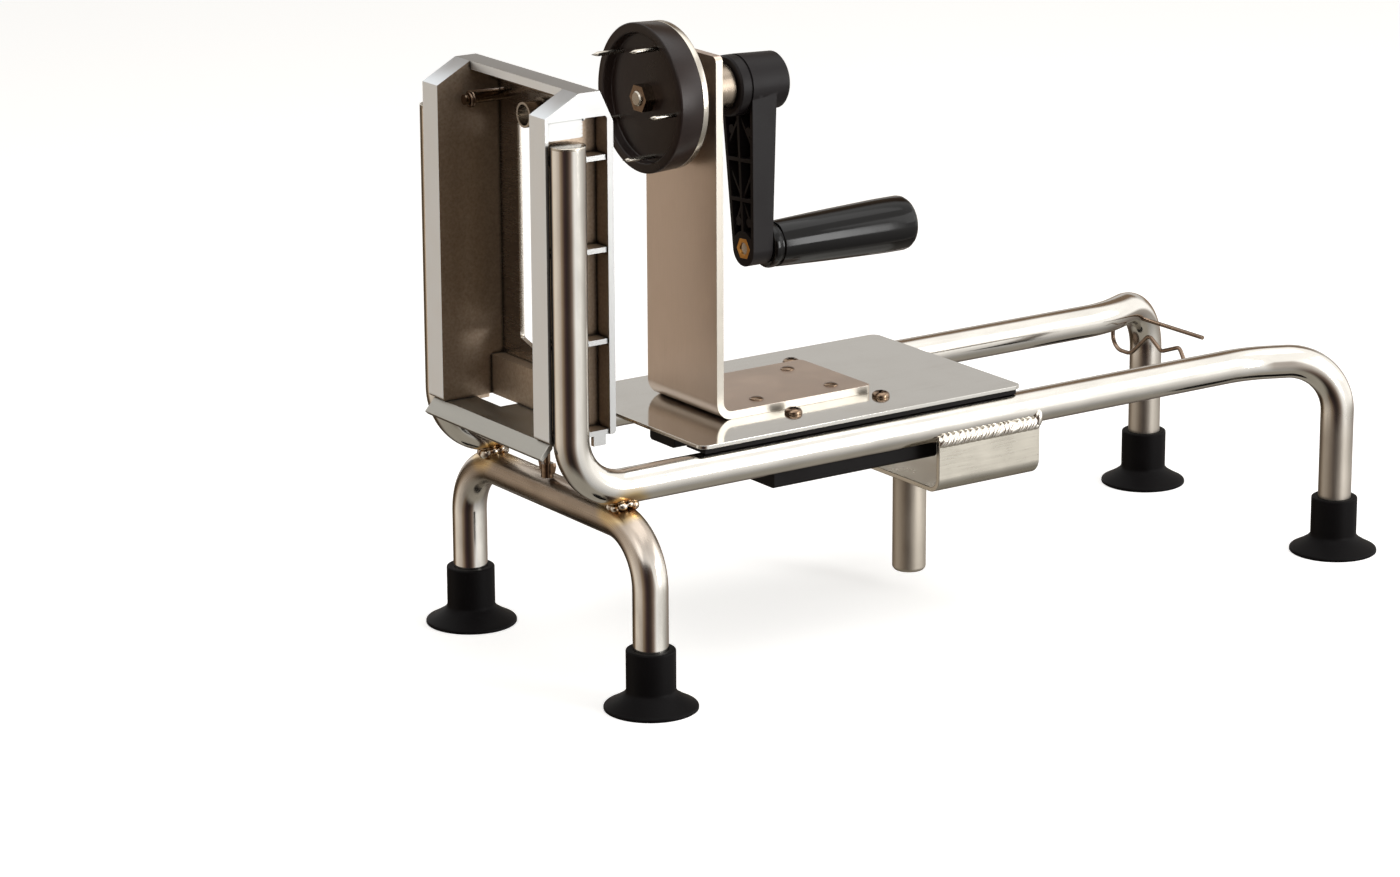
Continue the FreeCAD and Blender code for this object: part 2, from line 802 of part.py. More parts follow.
def rail_guide(side):
    """Moulded guide: a liner that rides on the rail and a jaw that reaches round it."""
    groove = rod(vec(carriage_x - 1, rail_y, rail_height),
                 vec(carriage_end_x + 1, rail_y, rail_height), tube_radius + running_gap)
    liner_outer = carriage_width / 2 - liner_edge_inset
    liner = box(carriage_x + liner_inset, carriage_end_x - liner_inset,
                liner_outer - liner_width, liner_outer,
                carriage_bottom - liner_thickness, carriage_bottom)
    x0 = carriage_mid_x - guide_length / 2
    x1 = carriage_mid_x + guide_length / 2
    z0 = carriage_bottom - guide_depth
    jaw = box(x0, x1, guide_inner, guide_outer, z0, carriage_bottom)
    low_inner = edges_where(jaw, lambda e: runs_along(e, X_AXIS)
                            and e.CenterOfMass.z < z0 + 1e-6)
    jaw = jaw.makeChamfer(guide_chamfer / 2, low_inner)
    guide = jaw.fuse(liner).cut(groove).removeSplitter()
    for x, y in guide_screw_places(1):
        guide = guide.cut(vertical_shank(x, y, carriage_bottom - guide_depth / 2,
                                         carriage_bottom + 1, screw_shank_diameter))
    return guide if side > 0 else mirrored(guide)


def guide_screws():
    screws = []
    for side in (-1, 1):
        for x, y in guide_screw_places(side):
            screws.append(pan_screw(vec(x, y, carriage_top), Z_AXIS,
                                    carriage_sheet + guide_depth / 2))
    return screws


def upright():
    """Flat bar bent to an L: the foot lies on the plate, the wall carries the bush."""
    half = upright_width / 2
    outer = upright_bend_radius + upright_thickness
    top = axis_height + upright_over_axis
    foot_end = upright_x + foot_length
    wall = box(upright_x, upright_rear_x, -half, half, carriage_top + outer, top)
    wall = wall.makeFillet(upright_corner_radius, edges_where(
        wall, lambda e: runs_along(e, X_AXIS) and e.CenterOfMass.z > top - 1e-6))
    foot = box(upright_x + outer, foot_end, -half, half,
               carriage_top, carriage_top + upright_thickness)
    foot = foot.makeFillet(upright_corner_radius, edges_where(
        foot, lambda e: runs_along(e, Z_AXIS) and e.CenterOfMass.x > foot_end - 1e-6))
    centre = vec(upright_x + outer, -half, carriage_top + outer)
    ring = Part.makeCylinder(outer, upright_width, centre, Y_AXIS)
    ring = ring.cut(Part.makeCylinder(upright_bend_radius, upright_width, centre, Y_AXIS))
    corner = box(upright_x, upright_x + outer, -half, half, carriage_top, carriage_top + outer)
    bar = fused([wall, foot, ring.common(corner)])
    bar = bar.cut(rod(vec(upright_x - 1, 0, axis_height), vec(upright_rear_x + 1, 0, axis_height),
                      bush_diameter / 2))
    for x, y in upright_rivet_places():
        bar = bar.cut(vertical_shank(x, y, carriage_top - 1,
                                     carriage_top + upright_thickness + 1, rivet_diameter / 2))
    return bar


def upright_rivets():
    """Domed rivets, closed flush with the underside of the plate."""
    head = rivet_diameter / 2
    shank = rivet_diameter / 4
    top = carriage_top + upright_thickness
    rivets = []
    for x, y in upright_rivet_places():
        points = [
            (0, carriage_bottom), (shank, carriage_bottom), (shank, top), (head, top),
            (head * 0.7, top + rivet_dome * 0.75), (0, top + rivet_dome),
        ]
        rivets.append(turned_z(points, x, y))
    return rivets


def shaft_bush():
    outer = bush_diameter / 2
    inner = shaft_diameter / 2 + shaft_clearance
    flange = bush_flange_diameter / 2
    bevel = 0.6
    points = [
        (bush_front_x, inner), (bush_front_x, outer - bevel), (bush_front_x + bevel, outer),
        (upright_x - bush_flange, outer), (upright_x - bush_flange, flange), (upright_x, flange),
        (upright_x, outer), (bush_rear_x - bevel, outer), (bush_rear_x, outer - bevel),
        (bush_rear_x, inner),
    ]
    return turned_x(points, 0, axis_height)


# ---------------------------------------------------------------- crank and holder
def prong_places():
    radius = prong_circle_diameter / 2
    step = 360.0 / prong_count
    turns = [math.radians(prong_first_angle + i * step) for i in range(prong_count)]
    return [(radius * math.cos(t), axis_height + radius * math.sin(t)) for t in turns]


def holder_prongs():
    """Pointed steel pins moulded into the floor of the cup."""
    radius = prong_diameter / 2
    root = holder_floor_x + prong_embed
    tip = holder_floor_x - prong_length
    prongs = []
    for y, z in prong_places():
        points = [(root, 0), (root, radius), (tip + prong_point, radius), (tip, 0)]
        prongs.append(turned_x(points, y, z))
    return prongs


def holder_cup():
    """Black cup with a drafted wall, open towards the blades."""
    outer = holder_diameter / 2
    inner = outer - holder_wall
    bore = shaft_thread_diameter / 2
    points = [
        (disc_front_x, bore), (disc_front_x, outer - holder_draft),
        (holder_rim_x + rim_round, outer), (holder_rim_x, outer - rim_round),
        (holder_rim_x, inner + rim_round), (holder_rim_x + rim_round, inner),
        (holder_floor_x, inner - holder_draft), (holder_floor_x, bore),
    ]
    cup = turned_x(points, 0, axis_height)
    for y, z in prong_places():
        cup = cup.cut(rod(vec(holder_floor_x - 1, y, z),
                          vec(holder_floor_x + prong_embed, y, z), prong_diameter / 2))
    return cup


def backing_disc():
    outer = disc_diameter / 2
    bore = shaft_thread_diameter / 2
    bevel = 0.4
    points = [
        (disc_front_x, bore), (disc_front_x, outer), (disc_rear_x - bevel, outer),
        (disc_rear_x, outer - bevel), (disc_rear_x, bore),
    ]
    return turned_x(points, 0, axis_height)


def holder_nut():
    x1 = holder_floor_x
    x0 = x1 - holder_nut_height
    nut = hexagon_x(x0, x1, 0, axis_height, holder_nut_width)
    return nut.cut(rod(vec(x0 - 1, 0, axis_height), vec(x1 + 1, 0, axis_height),
                       shaft_thread_diameter / 2))


def crank_shaft():
    """Turned shaft: a threaded nose through the cup and a plain journal in the bush."""
    nose = shaft_thread_diameter / 2
    radius = shaft_diameter / 2
    end = hub_x + hub_bore_depth
    nose_x = holder_floor_x - holder_nut_height - 1
    tap = crank_screw_diameter / 2
    tap_x = end - 2 * crank_screw_diameter
    points = [
        (nose_x, 0), (nose_x, nose - 0.5), (nose_x + 0.5, nose), (disc_rear_x, nose),
        (disc_rear_x, radius), (end, radius), (end, tap), (tap_x, tap), (tap_x, 0),
    ]
    return turned_x(points, 0, axis_height)


def crank_screw():
    """Cap screw in the hub's rear face that holds the arm on the shaft."""
    shank = crank_screw_diameter / 2
    head = crank_screw_head / 2
    end = hub_x + hub_bore_depth
    head_x = hub_end_x - crank_screw_head_height - 0.4
    points = [
        (end - 2 * crank_screw_diameter, 0), (end - 2 * crank_screw_diameter, shank),
        (head_x, shank), (head_x, head), (head_x + crank_screw_head_height - 0.4, head),
        (head_x + crank_screw_head_height, head - 0.4), (head_x + crank_screw_head_height, 0),
    ]
    screw = turned_x(points, 0, axis_height)
    socket = hexagon_x(head_x + crank_screw_head_height / 2, hub_end_x, 0, axis_height,
                       crank_screw_diameter * 0.8)
    return screw.cut(socket)


def arm_web(x0, x1, root, end):
    """Two rounds of different size joined by their tangents, pushed along X."""
    lower = axis_height - crank_radius
    lean = math.asin((root - end) / crank_radius)
    cos_lean = math.cos(lean)
    sin_lean = math.sin(lean)
    sides = [
        vec(x0, root * cos_lean, axis_height - root * sin_lean),
        vec(x0, end * cos_lean, lower - end * sin_lean),
        vec(x0, -end * cos_lean, lower - end * sin_lean),
        vec(x0, -root * cos_lean, axis_height - root * sin_lean),
    ]
    web = prism(sides, vec(x1 - x0, 0, 0))
    top = rod(vec(x0, 0, axis_height), vec(x1, 0, axis_height), root)
    bottom = rod(vec(x0, 0, lower), vec(x1, 0, lower), end)
    return fused([web, top, bottom])


def turned_to_rest(shape):
    """Turn about the crank axis from straight down to the rest angle."""
    turned = shape.copy()
    turned.rotate(vec(0, 0, axis_height), X_AXIS, crank_rest_angle)
    return turned


def pocket_half_width(drop):
    """Half the width of the arm's pocket, this far below the crank axis."""
    taper = (arm_root_radius - arm_end_radius) / crank_radius
    return arm_root_radius - arm_wall - taper * drop


def arm_braces():
    """Diagonal ribs from the centre rib to the side walls, and the round pads."""
    x0 = arm_x + arm_brace_inset
    x1 = arm_x + arm_thickness
    hub_edge = hub_front_diameter / 2
    runs = (
        (hub_edge, hub_edge + arm_brace_run),
        (arm_rib_second, arm_rib_second - arm_brace_run),
        (arm_rib_second, arm_rib_second + arm_brace_run),
    )
    pieces = []
    for centre_drop, wall_drop in runs:
        start = vec(x0, 0, axis_height - centre_drop)
        end = vec(x0, pocket_half_width(wall_drop) + arm_wall / 2, axis_height - wall_drop)
        along = end - start
        across = X_AXIS.cross(along).normalize() * (arm_brace / 2)
        corners = [start - across, end - across, end + across, start + across]
        pieces += both_sides(prism(corners, vec(x1 - x0, 0, 0)))
    for drop in (arm_pad_first, arm_pad_second):
        y = pocket_half_width(drop) - arm_pad_inset
        z = axis_height - drop
        pieces += both_sides(rod(vec(x0, y, z), vec(x1, y, z), arm_pad_diameter / 2))
    return pieces


def crank_arm():
    """Moulded arm with a ribbed pocket on the side of the holder and a drafted hub."""
    arm_rear = arm_x + arm_thickness
    lower = axis_height - crank_radius
    reach = arm_end_radius + 5
    body = arm_web(arm_x, arm_rear, arm_root_radius, arm_end_radius)
    # the rear face falls away towards the end of the arm
    wedge = prism_y([
        (arm_rear, axis_height), (arm_x + arm_end_thickness, lower),
        (arm_x + arm_end_thickness, lower - reach), (arm_rear + 1, lower - reach),
        (arm_rear + 1, axis_height)], -2 * arm_root_radius, 2 * arm_root_radius)
    body = body.cut(wedge)
    hub_front = hub_front_diameter / 2
    hub_rear = hub_rear_diameter / 2
    groove_x = arm_x - hub_groove_width
    bevel = 0.8
    hub = turned_x([
        (hub_x, 0), (hub_x, hub_front - bevel), (hub_x + bevel, hub_front), (groove_x, hub_front),
        (groove_x, hub_front - hub_groove), (arm_x, hub_front - hub_groove),
        (arm_x, hub_front), (hub_end_x - bevel, hub_rear), (hub_end_x, hub_rear - bevel),
        (hub_end_x, 0)], 0, axis_height)
    pocket = arm_web(arm_x - 1, arm_x + arm_pocket_depth,
                     arm_root_radius - arm_wall, arm_end_radius - arm_wall)
    pocket = pocket.cut(rod(vec(arm_x - 2, 0, axis_height), vec(arm_rear, 0, axis_height), hub_front))
    pocket = pocket.cut(rod(vec(arm_x - 2, 0, lower), vec(arm_rear, 0, lower), arm_end_radius - 0.2))
    pocket = pocket.cut(box(arm_x - 2, arm_rear, -arm_rib / 2, arm_rib / 2, lower, axis_height))
    for drop in (arm_rib_first, arm_rib_second):
        z = axis_height - drop
        pocket = pocket.cut(box(arm_x - 2, arm_rear, -arm_root_radius, arm_root_radius,
                                z - arm_rib / 2, z + arm_rib / 2))
    for piece in arm_braces():
        pocket = pocket.cut(piece)
    arm = fused([body, hub]).cut(pocket)
    arm = arm.cut(rod(vec(hub_x - 1, 0, axis_height), vec(hub_x + hub_bore_depth, 0, axis_height),
                      shaft_diameter / 2))
    arm = arm.cut(rod(vec(hub_x, 0, axis_height), vec(hub_end_x + 1, 0, axis_height),
                      crank_screw_diameter / 2))
    arm = arm.cut(rod(vec(hub_end_x - crank_screw_head_height - 0.4, 0, axis_height),
                      vec(hub_end_x + 1, 0, axis_height), crank_screw_head / 2))
    arm = arm.cut(hexagon_x(arm_x - 1, arm_x + insert_length, 0, lower, insert_width))
    arm = arm.cut(rod(vec(arm_x, 0, lower), vec(arm_rear + 1, 0, lower), axle_diameter / 2))
    return turned_to_rest(arm)


def arm_insert():
    lower = axis_height - crank_radius
    nut = hexagon_x(arm_x, arm_x + insert_length, 0, lower, insert_width)
    bore = rod(vec(arm_x - 1, 0, lower), vec(arm_x + insert_length + 1, 0, lower), insert_bore / 2)
    return turned_to_rest(nut.cut(bore))


def grip_axle():
    """Shoulder screw: threaded into the insert, headed inside the grip."""
    lower = axis_height - crank_radius
    head_x = grip_end_x - grip_cap_depth - axle_head_height - end_float
    shoulder_x = arm_x + insert_length
    points = [
        (arm_x + 0.6, 0), (arm_x + 0.6, insert_bore / 2), (shoulder_x, insert_bore / 2),
        (shoulder_x, axle_diameter / 2), (head_x, axle_diameter / 2),
        (head_x, axle_head_diameter / 2), (head_x + axle_head_height, axle_head_diameter / 2),
        (head_x + axle_head_height, 0),
    ]
    return turned_to_rest(turned_x(points, 0, lower))


def crank_grip():
    """Revolving grip, a little thicker towards its free end."""
    lower = axis_height - crank_radius
    start = grip_start_diameter / 2
    end = grip_end_diameter / 2
    bore = axle_diameter / 2 + axle_clearance
    head = axle_head_diameter / 2 + axle_clearance
    head_x = grip_end_x - grip_cap_depth - axle_head_height - 2 * end_float
    groove_x = grip_x + grip_collar
    groove_end = groove_x + grip_groove_width
    taper_end = grip_end_x - 3 * grip_end_round
    cap = grip_cap_diameter / 2
    points = [
        (grip_x, bore), (grip_x, start - 1.4), (grip_x + 1.4, start), (groove_x, start),
        (groove_x, start - grip_groove_depth), (groove_end, start - grip_groove_depth),
        (groove_end, start), (taper_end, end),
    ]
    for i in range(6):
        turn = math.radians(18.0 * i)
        points.append((grip_end_x - grip_end_round + grip_end_round * math.sin(turn),
                       end - grip_end_round + grip_end_round * math.cos(turn)))
    points += [(grip_end_x, cap), (grip_end_x - grip_cap_depth, cap),
               (grip_end_x - grip_cap_depth, head), (head_x, head), (head_x, bore)]
    return turned_to_rest(turned_x(points, 0, lower))


def grip_cap():
    """Push-in plug that closes the end of the grip."""
    lower = axis_height - crank_radius
    cap = grip_cap_diameter / 2
    x0 = grip_end_x - grip_cap_depth
    points = [(x0, 0), (x0, cap), (grip_end_x, cap), (grip_end_x, 0)]
    return turned_to_rest(turned_x(points, 0, lower))


# ---------------------------------------------------------------- rail clip
def rail_clip():
    """Hairpin clip: a straight leg through the rail, a loop and a waved leg below it."""
    loop_low = clip_height - clip_loop_height
    loop_inner = clip_loop_outer - clip_loop_width
    crest = loop_inner - clip_crest_run
    hollow = crest - clip_wave_run
    second = hollow - clip_second_run
    crest_height = clip_height - clip_crest_drop
    route = [
        (clip_leg_end, clip_height), (clip_loop_outer, clip_height),
        (clip_loop_outer, loop_low), (loop_inner, loop_low), (crest, crest_height),
        (hollow, crest_height - clip_wave_depth), (second, crest_height - clip_second_drop),
        (second - clip_tail_run, crest_height - clip_tail_drop),
    ]
    points = [vec(clip_x, y, z) for y, z in route]
    bends = [clip_loop_radius, clip_loop_radius] + list(clip_crest_radii)
    return bent_rod(points, bends, clip_wire / 2)


# ---------------------------------------------------------------- write the pieces
pieces = {
    "near_rail_tube": rail_tube(-1),
    "far_rail_tube": far_rail_tube(),
    "front_leg_tube": front_leg_tube(),
    "post_caps": group(both_sides(post_cap())),
    "front_near_foot": suction_foot(front_leg_x, -front_leg_y),
    "front_far_foot": suction_foot(front_leg_x, front_leg_y),
    "rear_near_foot": suction_foot(rear_leg_x, -rear_leg_y),
    "rear_far_foot": suction_foot(rear_leg_x, rear_leg_y),
    "leg_bracket": leg_bracket(),
    "centre_stud": centre_stud(),
    "housing_seat": housing_seat(),
    "wing_bolt": wing_bolt(),
    "blade_housing": blade_housing(),
    "cutting_plate": cutting_plate(),
    "plate_screws": group(plate_screw_shapes()),
    "straight_knife": straight_knife(),
    "knife_screws": group(knife_screws()),
    "coring_tube": coring_tube(),
    "spring_pin": spring_pin(),
    "latch_spring": latch_spring(),
    "carriage_plate": carriage_plate(),
    "near_rail_guide": rail_guide(-1),
    "far_rail_guide": rail_guide(1),
    "guide_screws": group(guide_screws()),
    "upright": upright(),
    "upright_rivets": group(upright_rivets()),
    "shaft_bush": shaft_bush(),
    "holder_cup": holder_cup(),
    "holder_prongs": group(holder_prongs()),
    "backing_disc": backing_disc(),
    "holder_nut": holder_nut(),
    "crank_shaft": crank_shaft(),
    "crank_screw": crank_screw(),
    "crank_arm": crank_arm(),
    "arm_insert": arm_insert(),
    "grip_axle": grip_axle(),
    "crank_grip": crank_grip(),
    "grip_cap": grip_cap(),
    "rail_clip": rail_clip(),
}

os.makedirs("parts", exist_ok=True)
for name, shape in pieces.items():
    shape.exportStep(os.path.join("parts", name + ".step"))
    print("%-18s solids %2d  volume %10.1f mm3  valid %s"
          % (name, len(shape.Solids), shape.Volume, shape.isValid()))
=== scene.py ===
import math

import bmesh
import bpy
from mathutils import Matrix, Vector, noise


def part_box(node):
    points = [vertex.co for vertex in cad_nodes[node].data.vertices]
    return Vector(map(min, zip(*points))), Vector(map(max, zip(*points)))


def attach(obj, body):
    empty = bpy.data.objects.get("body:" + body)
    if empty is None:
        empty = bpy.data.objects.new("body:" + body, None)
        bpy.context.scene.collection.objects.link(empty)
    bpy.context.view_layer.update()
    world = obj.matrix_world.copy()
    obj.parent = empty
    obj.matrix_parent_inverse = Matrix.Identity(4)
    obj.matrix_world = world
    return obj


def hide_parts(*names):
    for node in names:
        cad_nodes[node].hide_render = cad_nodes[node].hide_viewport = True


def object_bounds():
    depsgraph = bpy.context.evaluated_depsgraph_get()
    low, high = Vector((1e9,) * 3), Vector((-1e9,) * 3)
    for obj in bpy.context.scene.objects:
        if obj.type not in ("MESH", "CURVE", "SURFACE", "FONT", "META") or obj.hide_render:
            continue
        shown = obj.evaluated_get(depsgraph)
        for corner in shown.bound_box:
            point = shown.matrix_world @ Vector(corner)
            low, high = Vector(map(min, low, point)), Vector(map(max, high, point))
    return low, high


# A hand-cranked spiral slicer: a bent stainless tube frame on rubber suction feet, a plated
# blade housing, and a carriage with the food holder and the crank. Metres, +X along the rails
# from the blades to the crank, +Z up.

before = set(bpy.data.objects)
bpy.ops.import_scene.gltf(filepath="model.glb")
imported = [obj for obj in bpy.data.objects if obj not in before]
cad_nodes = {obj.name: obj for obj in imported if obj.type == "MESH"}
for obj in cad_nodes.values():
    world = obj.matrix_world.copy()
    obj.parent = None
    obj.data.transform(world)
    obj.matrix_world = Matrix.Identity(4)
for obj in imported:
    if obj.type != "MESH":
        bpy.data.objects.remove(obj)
cad_low, cad_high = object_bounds()
MM = 0.001


# ---------------------------------------------------------------- studio
# A pale floor in a soft white room: a big softbox overhead, one at the right, a tall strong
# one low at the front and a weak fill at the left. Bright metal shows the room itself: white
# above, pale at the right, brown at the left and dark behind the camera.
def linear(hex_colour):
    """Linear RGBA of an sRGB hex colour."""
    parts = [int(hex_colour[i:i + 2], 16) / 255 for i in (1, 3, 5)]
    return (*(c / 12.92 if c <= 0.04045 else ((c + 0.055) / 1.055) ** 2.4 for c in parts), 1.0)


def add(tree, kind, *values, **named):
    """A shader node. The values go to its inputs in order. A name in lower case is a setting,
    and any other is an input, with _ for a space. A value is a constant, an output, or a node,
    which stands for its first output in use."""
    made = tree.nodes.new("ShaderNode" + kind)
    for name in [name for name in named if name.islower()]:
        setattr(made, name, named.pop(name))
    inputs = [*enumerate(values), *((name.replace("_", " "), named[name]) for name in named)]
    for socket, value in inputs:
        if isinstance(value, bpy.types.Node):
            value = next(output for output in value.outputs if output.enabled)
        if isinstance(value, bpy.types.NodeSocket):
            tree.links.new(value, made.inputs[socket])
        else:
            made.inputs[socket].default_value = value
    return made


def new_material(name):
    material = bpy.data.materials.new(name)
    material.use_nodes = True
    material.node_tree.nodes.clear()
    return material, material.node_tree


def link_object(name, mesh):
    made = bpy.data.objects.new(name, mesh)
    bpy.context.scene.collection.objects.link(made)
    return made


def colour_stops(node, stops):
    """Fills a colour ramp from places and hex colours, given in rising order."""
    elements = node.color_ramp.elements
    elements[0].position, elements[1].position = stops[0][0], stops[-1][0]
    for place, _ in stops[1:-1]:
        elements.new(place)
    for element, (_, colour) in zip(elements, stops):
        element.color = linear(colour)


PAPER_WHITE = "#ffffff"
ROOM_GREY = "#c9c6c1"
FLOOR_WHITE = "#f4f3f1"
FLOOR_SIZE = 9.0
FLOOR_GLOW = 0.55               # lifts the floor to paper white where the camera sees it
ROOM_STRENGTH = 0.62            # what matt surfaces get
MIRROR_STRENGTH = 1.35          # what bright metal shows of the room
# the room at table height as metal shows it: a place on the compass, in degrees from +X
# towards +Y, and the colour there
LOW_ROOM = (
    (-180, "#bcb1a6"), (-170, "#95836f"), (-152, "#4a3a35"), (-140, "#33282a"), (-127, "#372e28"),
    (-115, "#564740"), (-103, "#8a7a70"), (-92, "#dad5d0"), (-84, "#ffffff"), (-49, "#f4f2ef"),
    (-30, "#d6d4d0"), (-12, "#b4b0ab"), (10, "#958b83"), (50, "#786d64"), (90, "#4f4233"),
    (110, "#4f4233"), (121, "#a8937d"), (133, "#e6dccf"), (155, "#dfd5c9"), (180, "#bcb1a6"),
)
HIGH_ROOM = "#fbfaf8"
HIGH_GAIN = 1.3
TABLE_GREY = "#9a958b"          # straight below
# the shelves in the corner behind: the height of a direction, from -1 to 1, and the colour
CORNER = ((-0.25, "#8f7d6b"), (0.06, "#8f7d6b"), (0.13, "#c6c3bf"), (0.31, "#c6c3bf"),
          (0.37, "#7d6a58"))
# in which X, Y and Z of a direction the corner begins to show, and shows in full
CORNER_FADES = (("X", 0.1, 0.35), ("Y", 0.15, 0.4), ("Z", -0.30, -0.20), ("Z", 0.80, 0.66))

scene = bpy.context.scene
scene.view_settings.view_transform = "Standard"
scene.render.film_transparent = False

world = bpy.data.worlds.new("soft_room")
scene.world = world
world.use_nodes = True
room = world.node_tree
room.nodes.clear()
toward = add(room, "SeparateXYZ", add(room, "TexCoord").outputs["Generated"])
compass = add(room, "Math", toward.outputs["Y"], toward.outputs["X"], operation="ARCTAN2")
turn = add(room, "MapRange", Value=compass, From_Min=-math.pi, From_Max=math.pi)
low = add(room, "ValToRGB", Fac=turn)
colour_stops(low, [(0.5 + degrees / 360, colour) for degrees, colour in LOW_ROOM])
height = toward.outputs["Z"]
# below table height the room darkens, and straight down is the table itself
under = add(room, "MapRange", Value=height, From_Min=-0.65, From_Max=-0.26, To_Min=0.5,
            To_Max=1.0)
below = add(room, "VectorMath", low, Scale=under, operation="SCALE")
table = add(room, "MapRange", Value=height, From_Min=-0.84, From_Max=-0.66, To_Min=1.0,
            To_Max=0.0)
below = add(room, "Mix", Factor=table, A=below, B=linear(TABLE_GREY), data_type="RGBA")
# the white above reaches lower towards +X
wall_top = add(room, "MapRange", Value=toward.outputs["X"], From_Min=-0.2, From_Max=0.1,
               To_Min=0.34, To_Max=-0.24)
above = add(room, "Math", height, wall_top, operation="SUBTRACT")
lift = add(room, "MapRange", Value=above, From_Min=0.0, From_Max=0.16,
           interpolation_type="SMOOTHSTEP")
mirrored = add(room, "Mix", Factor=lift, A=below, B=[c * HIGH_GAIN for c in linear(HIGH_ROOM)],
               data_type="RGBA")
corner_place = add(room, "MapRange", Value=height, From_Min=-1.0, From_Max=1.0)
corner = add(room, "ValToRGB", Fac=corner_place)
colour_stops(corner, [(0.5 + at_height / 2, colour) for at_height, colour in CORNER])
corner_share = 1.0
for part, start, full in CORNER_FADES:
    step = add(room, "MapRange", Value=toward.outputs[part], From_Min=min(start, full),
               From_Max=max(start, full), To_Min=float(start > full), To_Max=float(start < full),
               interpolation_type="SMOOTHSTEP")
    corner_share = add(room, "Math", corner_share, step, operation="MULTIPLY")
mirrored = add(room, "Mix", Factor=corner_share, A=mirrored, B=corner, data_type="RGBA")
light_path = add(room, "LightPath")
seen_direct = add(room, "Math", light_path.outputs["Is Camera Ray"],
                  light_path.outputs["Is Transmission Ray"], operation="MAXIMUM")
plain_light = add(room, "Background", Color=linear(ROOM_GREY), Strength=ROOM_STRENGTH)
mirror_light = add(room, "Background", Color=mirrored, Strength=MIRROR_STRENGTH)
direct_light = add(room, "Background", Color=linear(PAPER_WHITE), Strength=1.0)
lit = add(room, "MixShader", light_path.outputs["Is Glossy Ray"], plain_light, mirror_light)
shown = add(room, "MixShader", seen_direct, lit, direct_light)
add(room, "OutputWorld", Surface=shown)

floor_mesh = bpy.data.meshes.new("floor")
shape = bmesh.new()
bmesh.ops.create_grid(shape, x_segments=1, y_segments=1, size=FLOOR_SIZE / 2)
shape.to_mesh(floor_mesh)
shape.free()
floor = link_object("floor", floor_mesh)
floor_paint, tree = new_material("pale_floor_paper")
paper = add(tree, "BsdfDiffuse", Color=linear(FLOOR_WHITE))
glow = add(tree, "Emission", Color=linear(PAPER_WHITE), Strength=FLOOR_GLOW)
lifted = add(tree, "AddShader", paper, glow)
seen = add(tree, "LightPath")
floor_mix = add(tree, "MixShader", seen.outputs["Is Camera Ray"], paper, lifted)
add(tree, "OutputMaterial", Surface=floor_mix)
floor_mesh.materials.append(floor_paint)
floor.visible_glossy = False


def softbox(name, place, aim, width, height, power):
    lamp = bpy.data.lights.new(name, "AREA")
    lamp.shape = "RECTANGLE"
    lamp.size = width
    lamp.size_y = height
    lamp.energy = power
    made = bpy.data.objects.new(name, lamp)
    scene.collection.objects.link(made)
    made.location = place
    made.rotation_euler = (Vector(aim) - Vector(place)).to_track_quat("-Z", "Y").to_euler()


machine_middle = (cad_low + cad_high) / 2
softbox("overhead_softbox", (0.05, -0.15, 1.25), machine_middle, 1.3, 0.9, 5.5)
softbox("right_softbox", (1.05, -0.75, 0.65), machine_middle, 0.9, 0.7, 4.0)
softbox("low_key", (0.51, -1.15, 0.30), machine_middle, 0.34, 0.60, 8.0)
softbox("left_fill", (-1.1, -0.45, 0.75), machine_middle, 0.6, 0.6, 1.6)

CAMERA_PLACE = (-1.120229, -1.4953, 0.5987)
CAMERA_YAW = 34.32              # degrees, from looking along +Y towards +X
CAMERA_PITCH = 15.95            # degrees down
CAMERA_ROLL = -0.28
FOCAL_PIXELS = 4714.3           # at an image 1400 pixels wide
IMAGE_WIDTH = 1400
SENSOR = 36.0

camera_data = bpy.data.cameras.new("camera")
camera_data.sensor_width = SENSOR
camera_data.lens = SENSOR * FOCAL_PIXELS / IMAGE_WIDTH
camera_data.clip_end = 20
camera = bpy.data.objects.new("camera", camera_data)
scene.collection.objects.link(camera)
camera.matrix_world = (
    Matrix.Translation(CAMERA_PLACE)
    @ Matrix.Rotation(math.radians(-CAMERA_YAW), 4, "Z")
    @ Matrix.Rotation(math.radians(90 - CAMERA_PITCH), 4, "X")
    @ Matrix.Rotation(math.radians(CAMERA_ROLL), 4, "Z")
)
scene.camera = camera


# ---------------------------------------------------------------- tube frame
# Two rails and the cross tube: 14 mm stainless tube, cold bent and polished. Each rail is one
# length that turns up into a post at the front and out and down into a leg at the rear. The
# cross tube lies under the rails and is welded to them.
TUBE_RADIUS = 7.0 * MM
TUBE_SIDES = 64
BEND_RADIUS = 23.0 * MM
SPLAY_BEND_RADIUS = 50.0 * MM
SPLAY_RUN = 37.5 * MM
RAIL_HALF_SPACING = 46.55 * MM
LEG_END = 8.0 * MM
LEG_BELOW = 48 * MM             # the legs' roughness and painted reflection colour end here and fade above
LEG_BLEND = 24 * MM
PATCHY = 0.8
TINT_FROM = 5 * MM              # heat tint round a weld
TINT_TO = 13 * MM
RUN_STEP = 6                    # rings on a straight run, in radii


def finish_mesh(name, shape, smooth_angle=35.0):
    """Mesh object from a bmesh, smooth apart from its arrises."""
    mesh = bpy.data.meshes.new(name)
    bmesh.ops.recalc_face_normals(shape, faces=shape.faces)
    shape.to_mesh(mesh)
    shape.free()
    mesh.shade_smooth()
    mesh.set_sharp_from_angle(angle=math.radians(smooth_angle))
    return link_object(name, mesh)


def place_piece(piece, body, slot_name, material, *nodes):
    """Gives a piece its body, its finish and the nodes it stands for; the slot name is not used.
    """
    piece.data.materials.clear()
    piece.data.materials.append(material)
    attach(piece, body)
    if nodes:
        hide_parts(*nodes)
    return piece


def facing(direction, place):
    """The matrix that turns +Z to a direction and moves the origin to a place."""
    turn = Vector(direction).to_track_quat("Z", "Y").to_matrix().to_4x4()
    return Matrix.Translation(place) @ turn


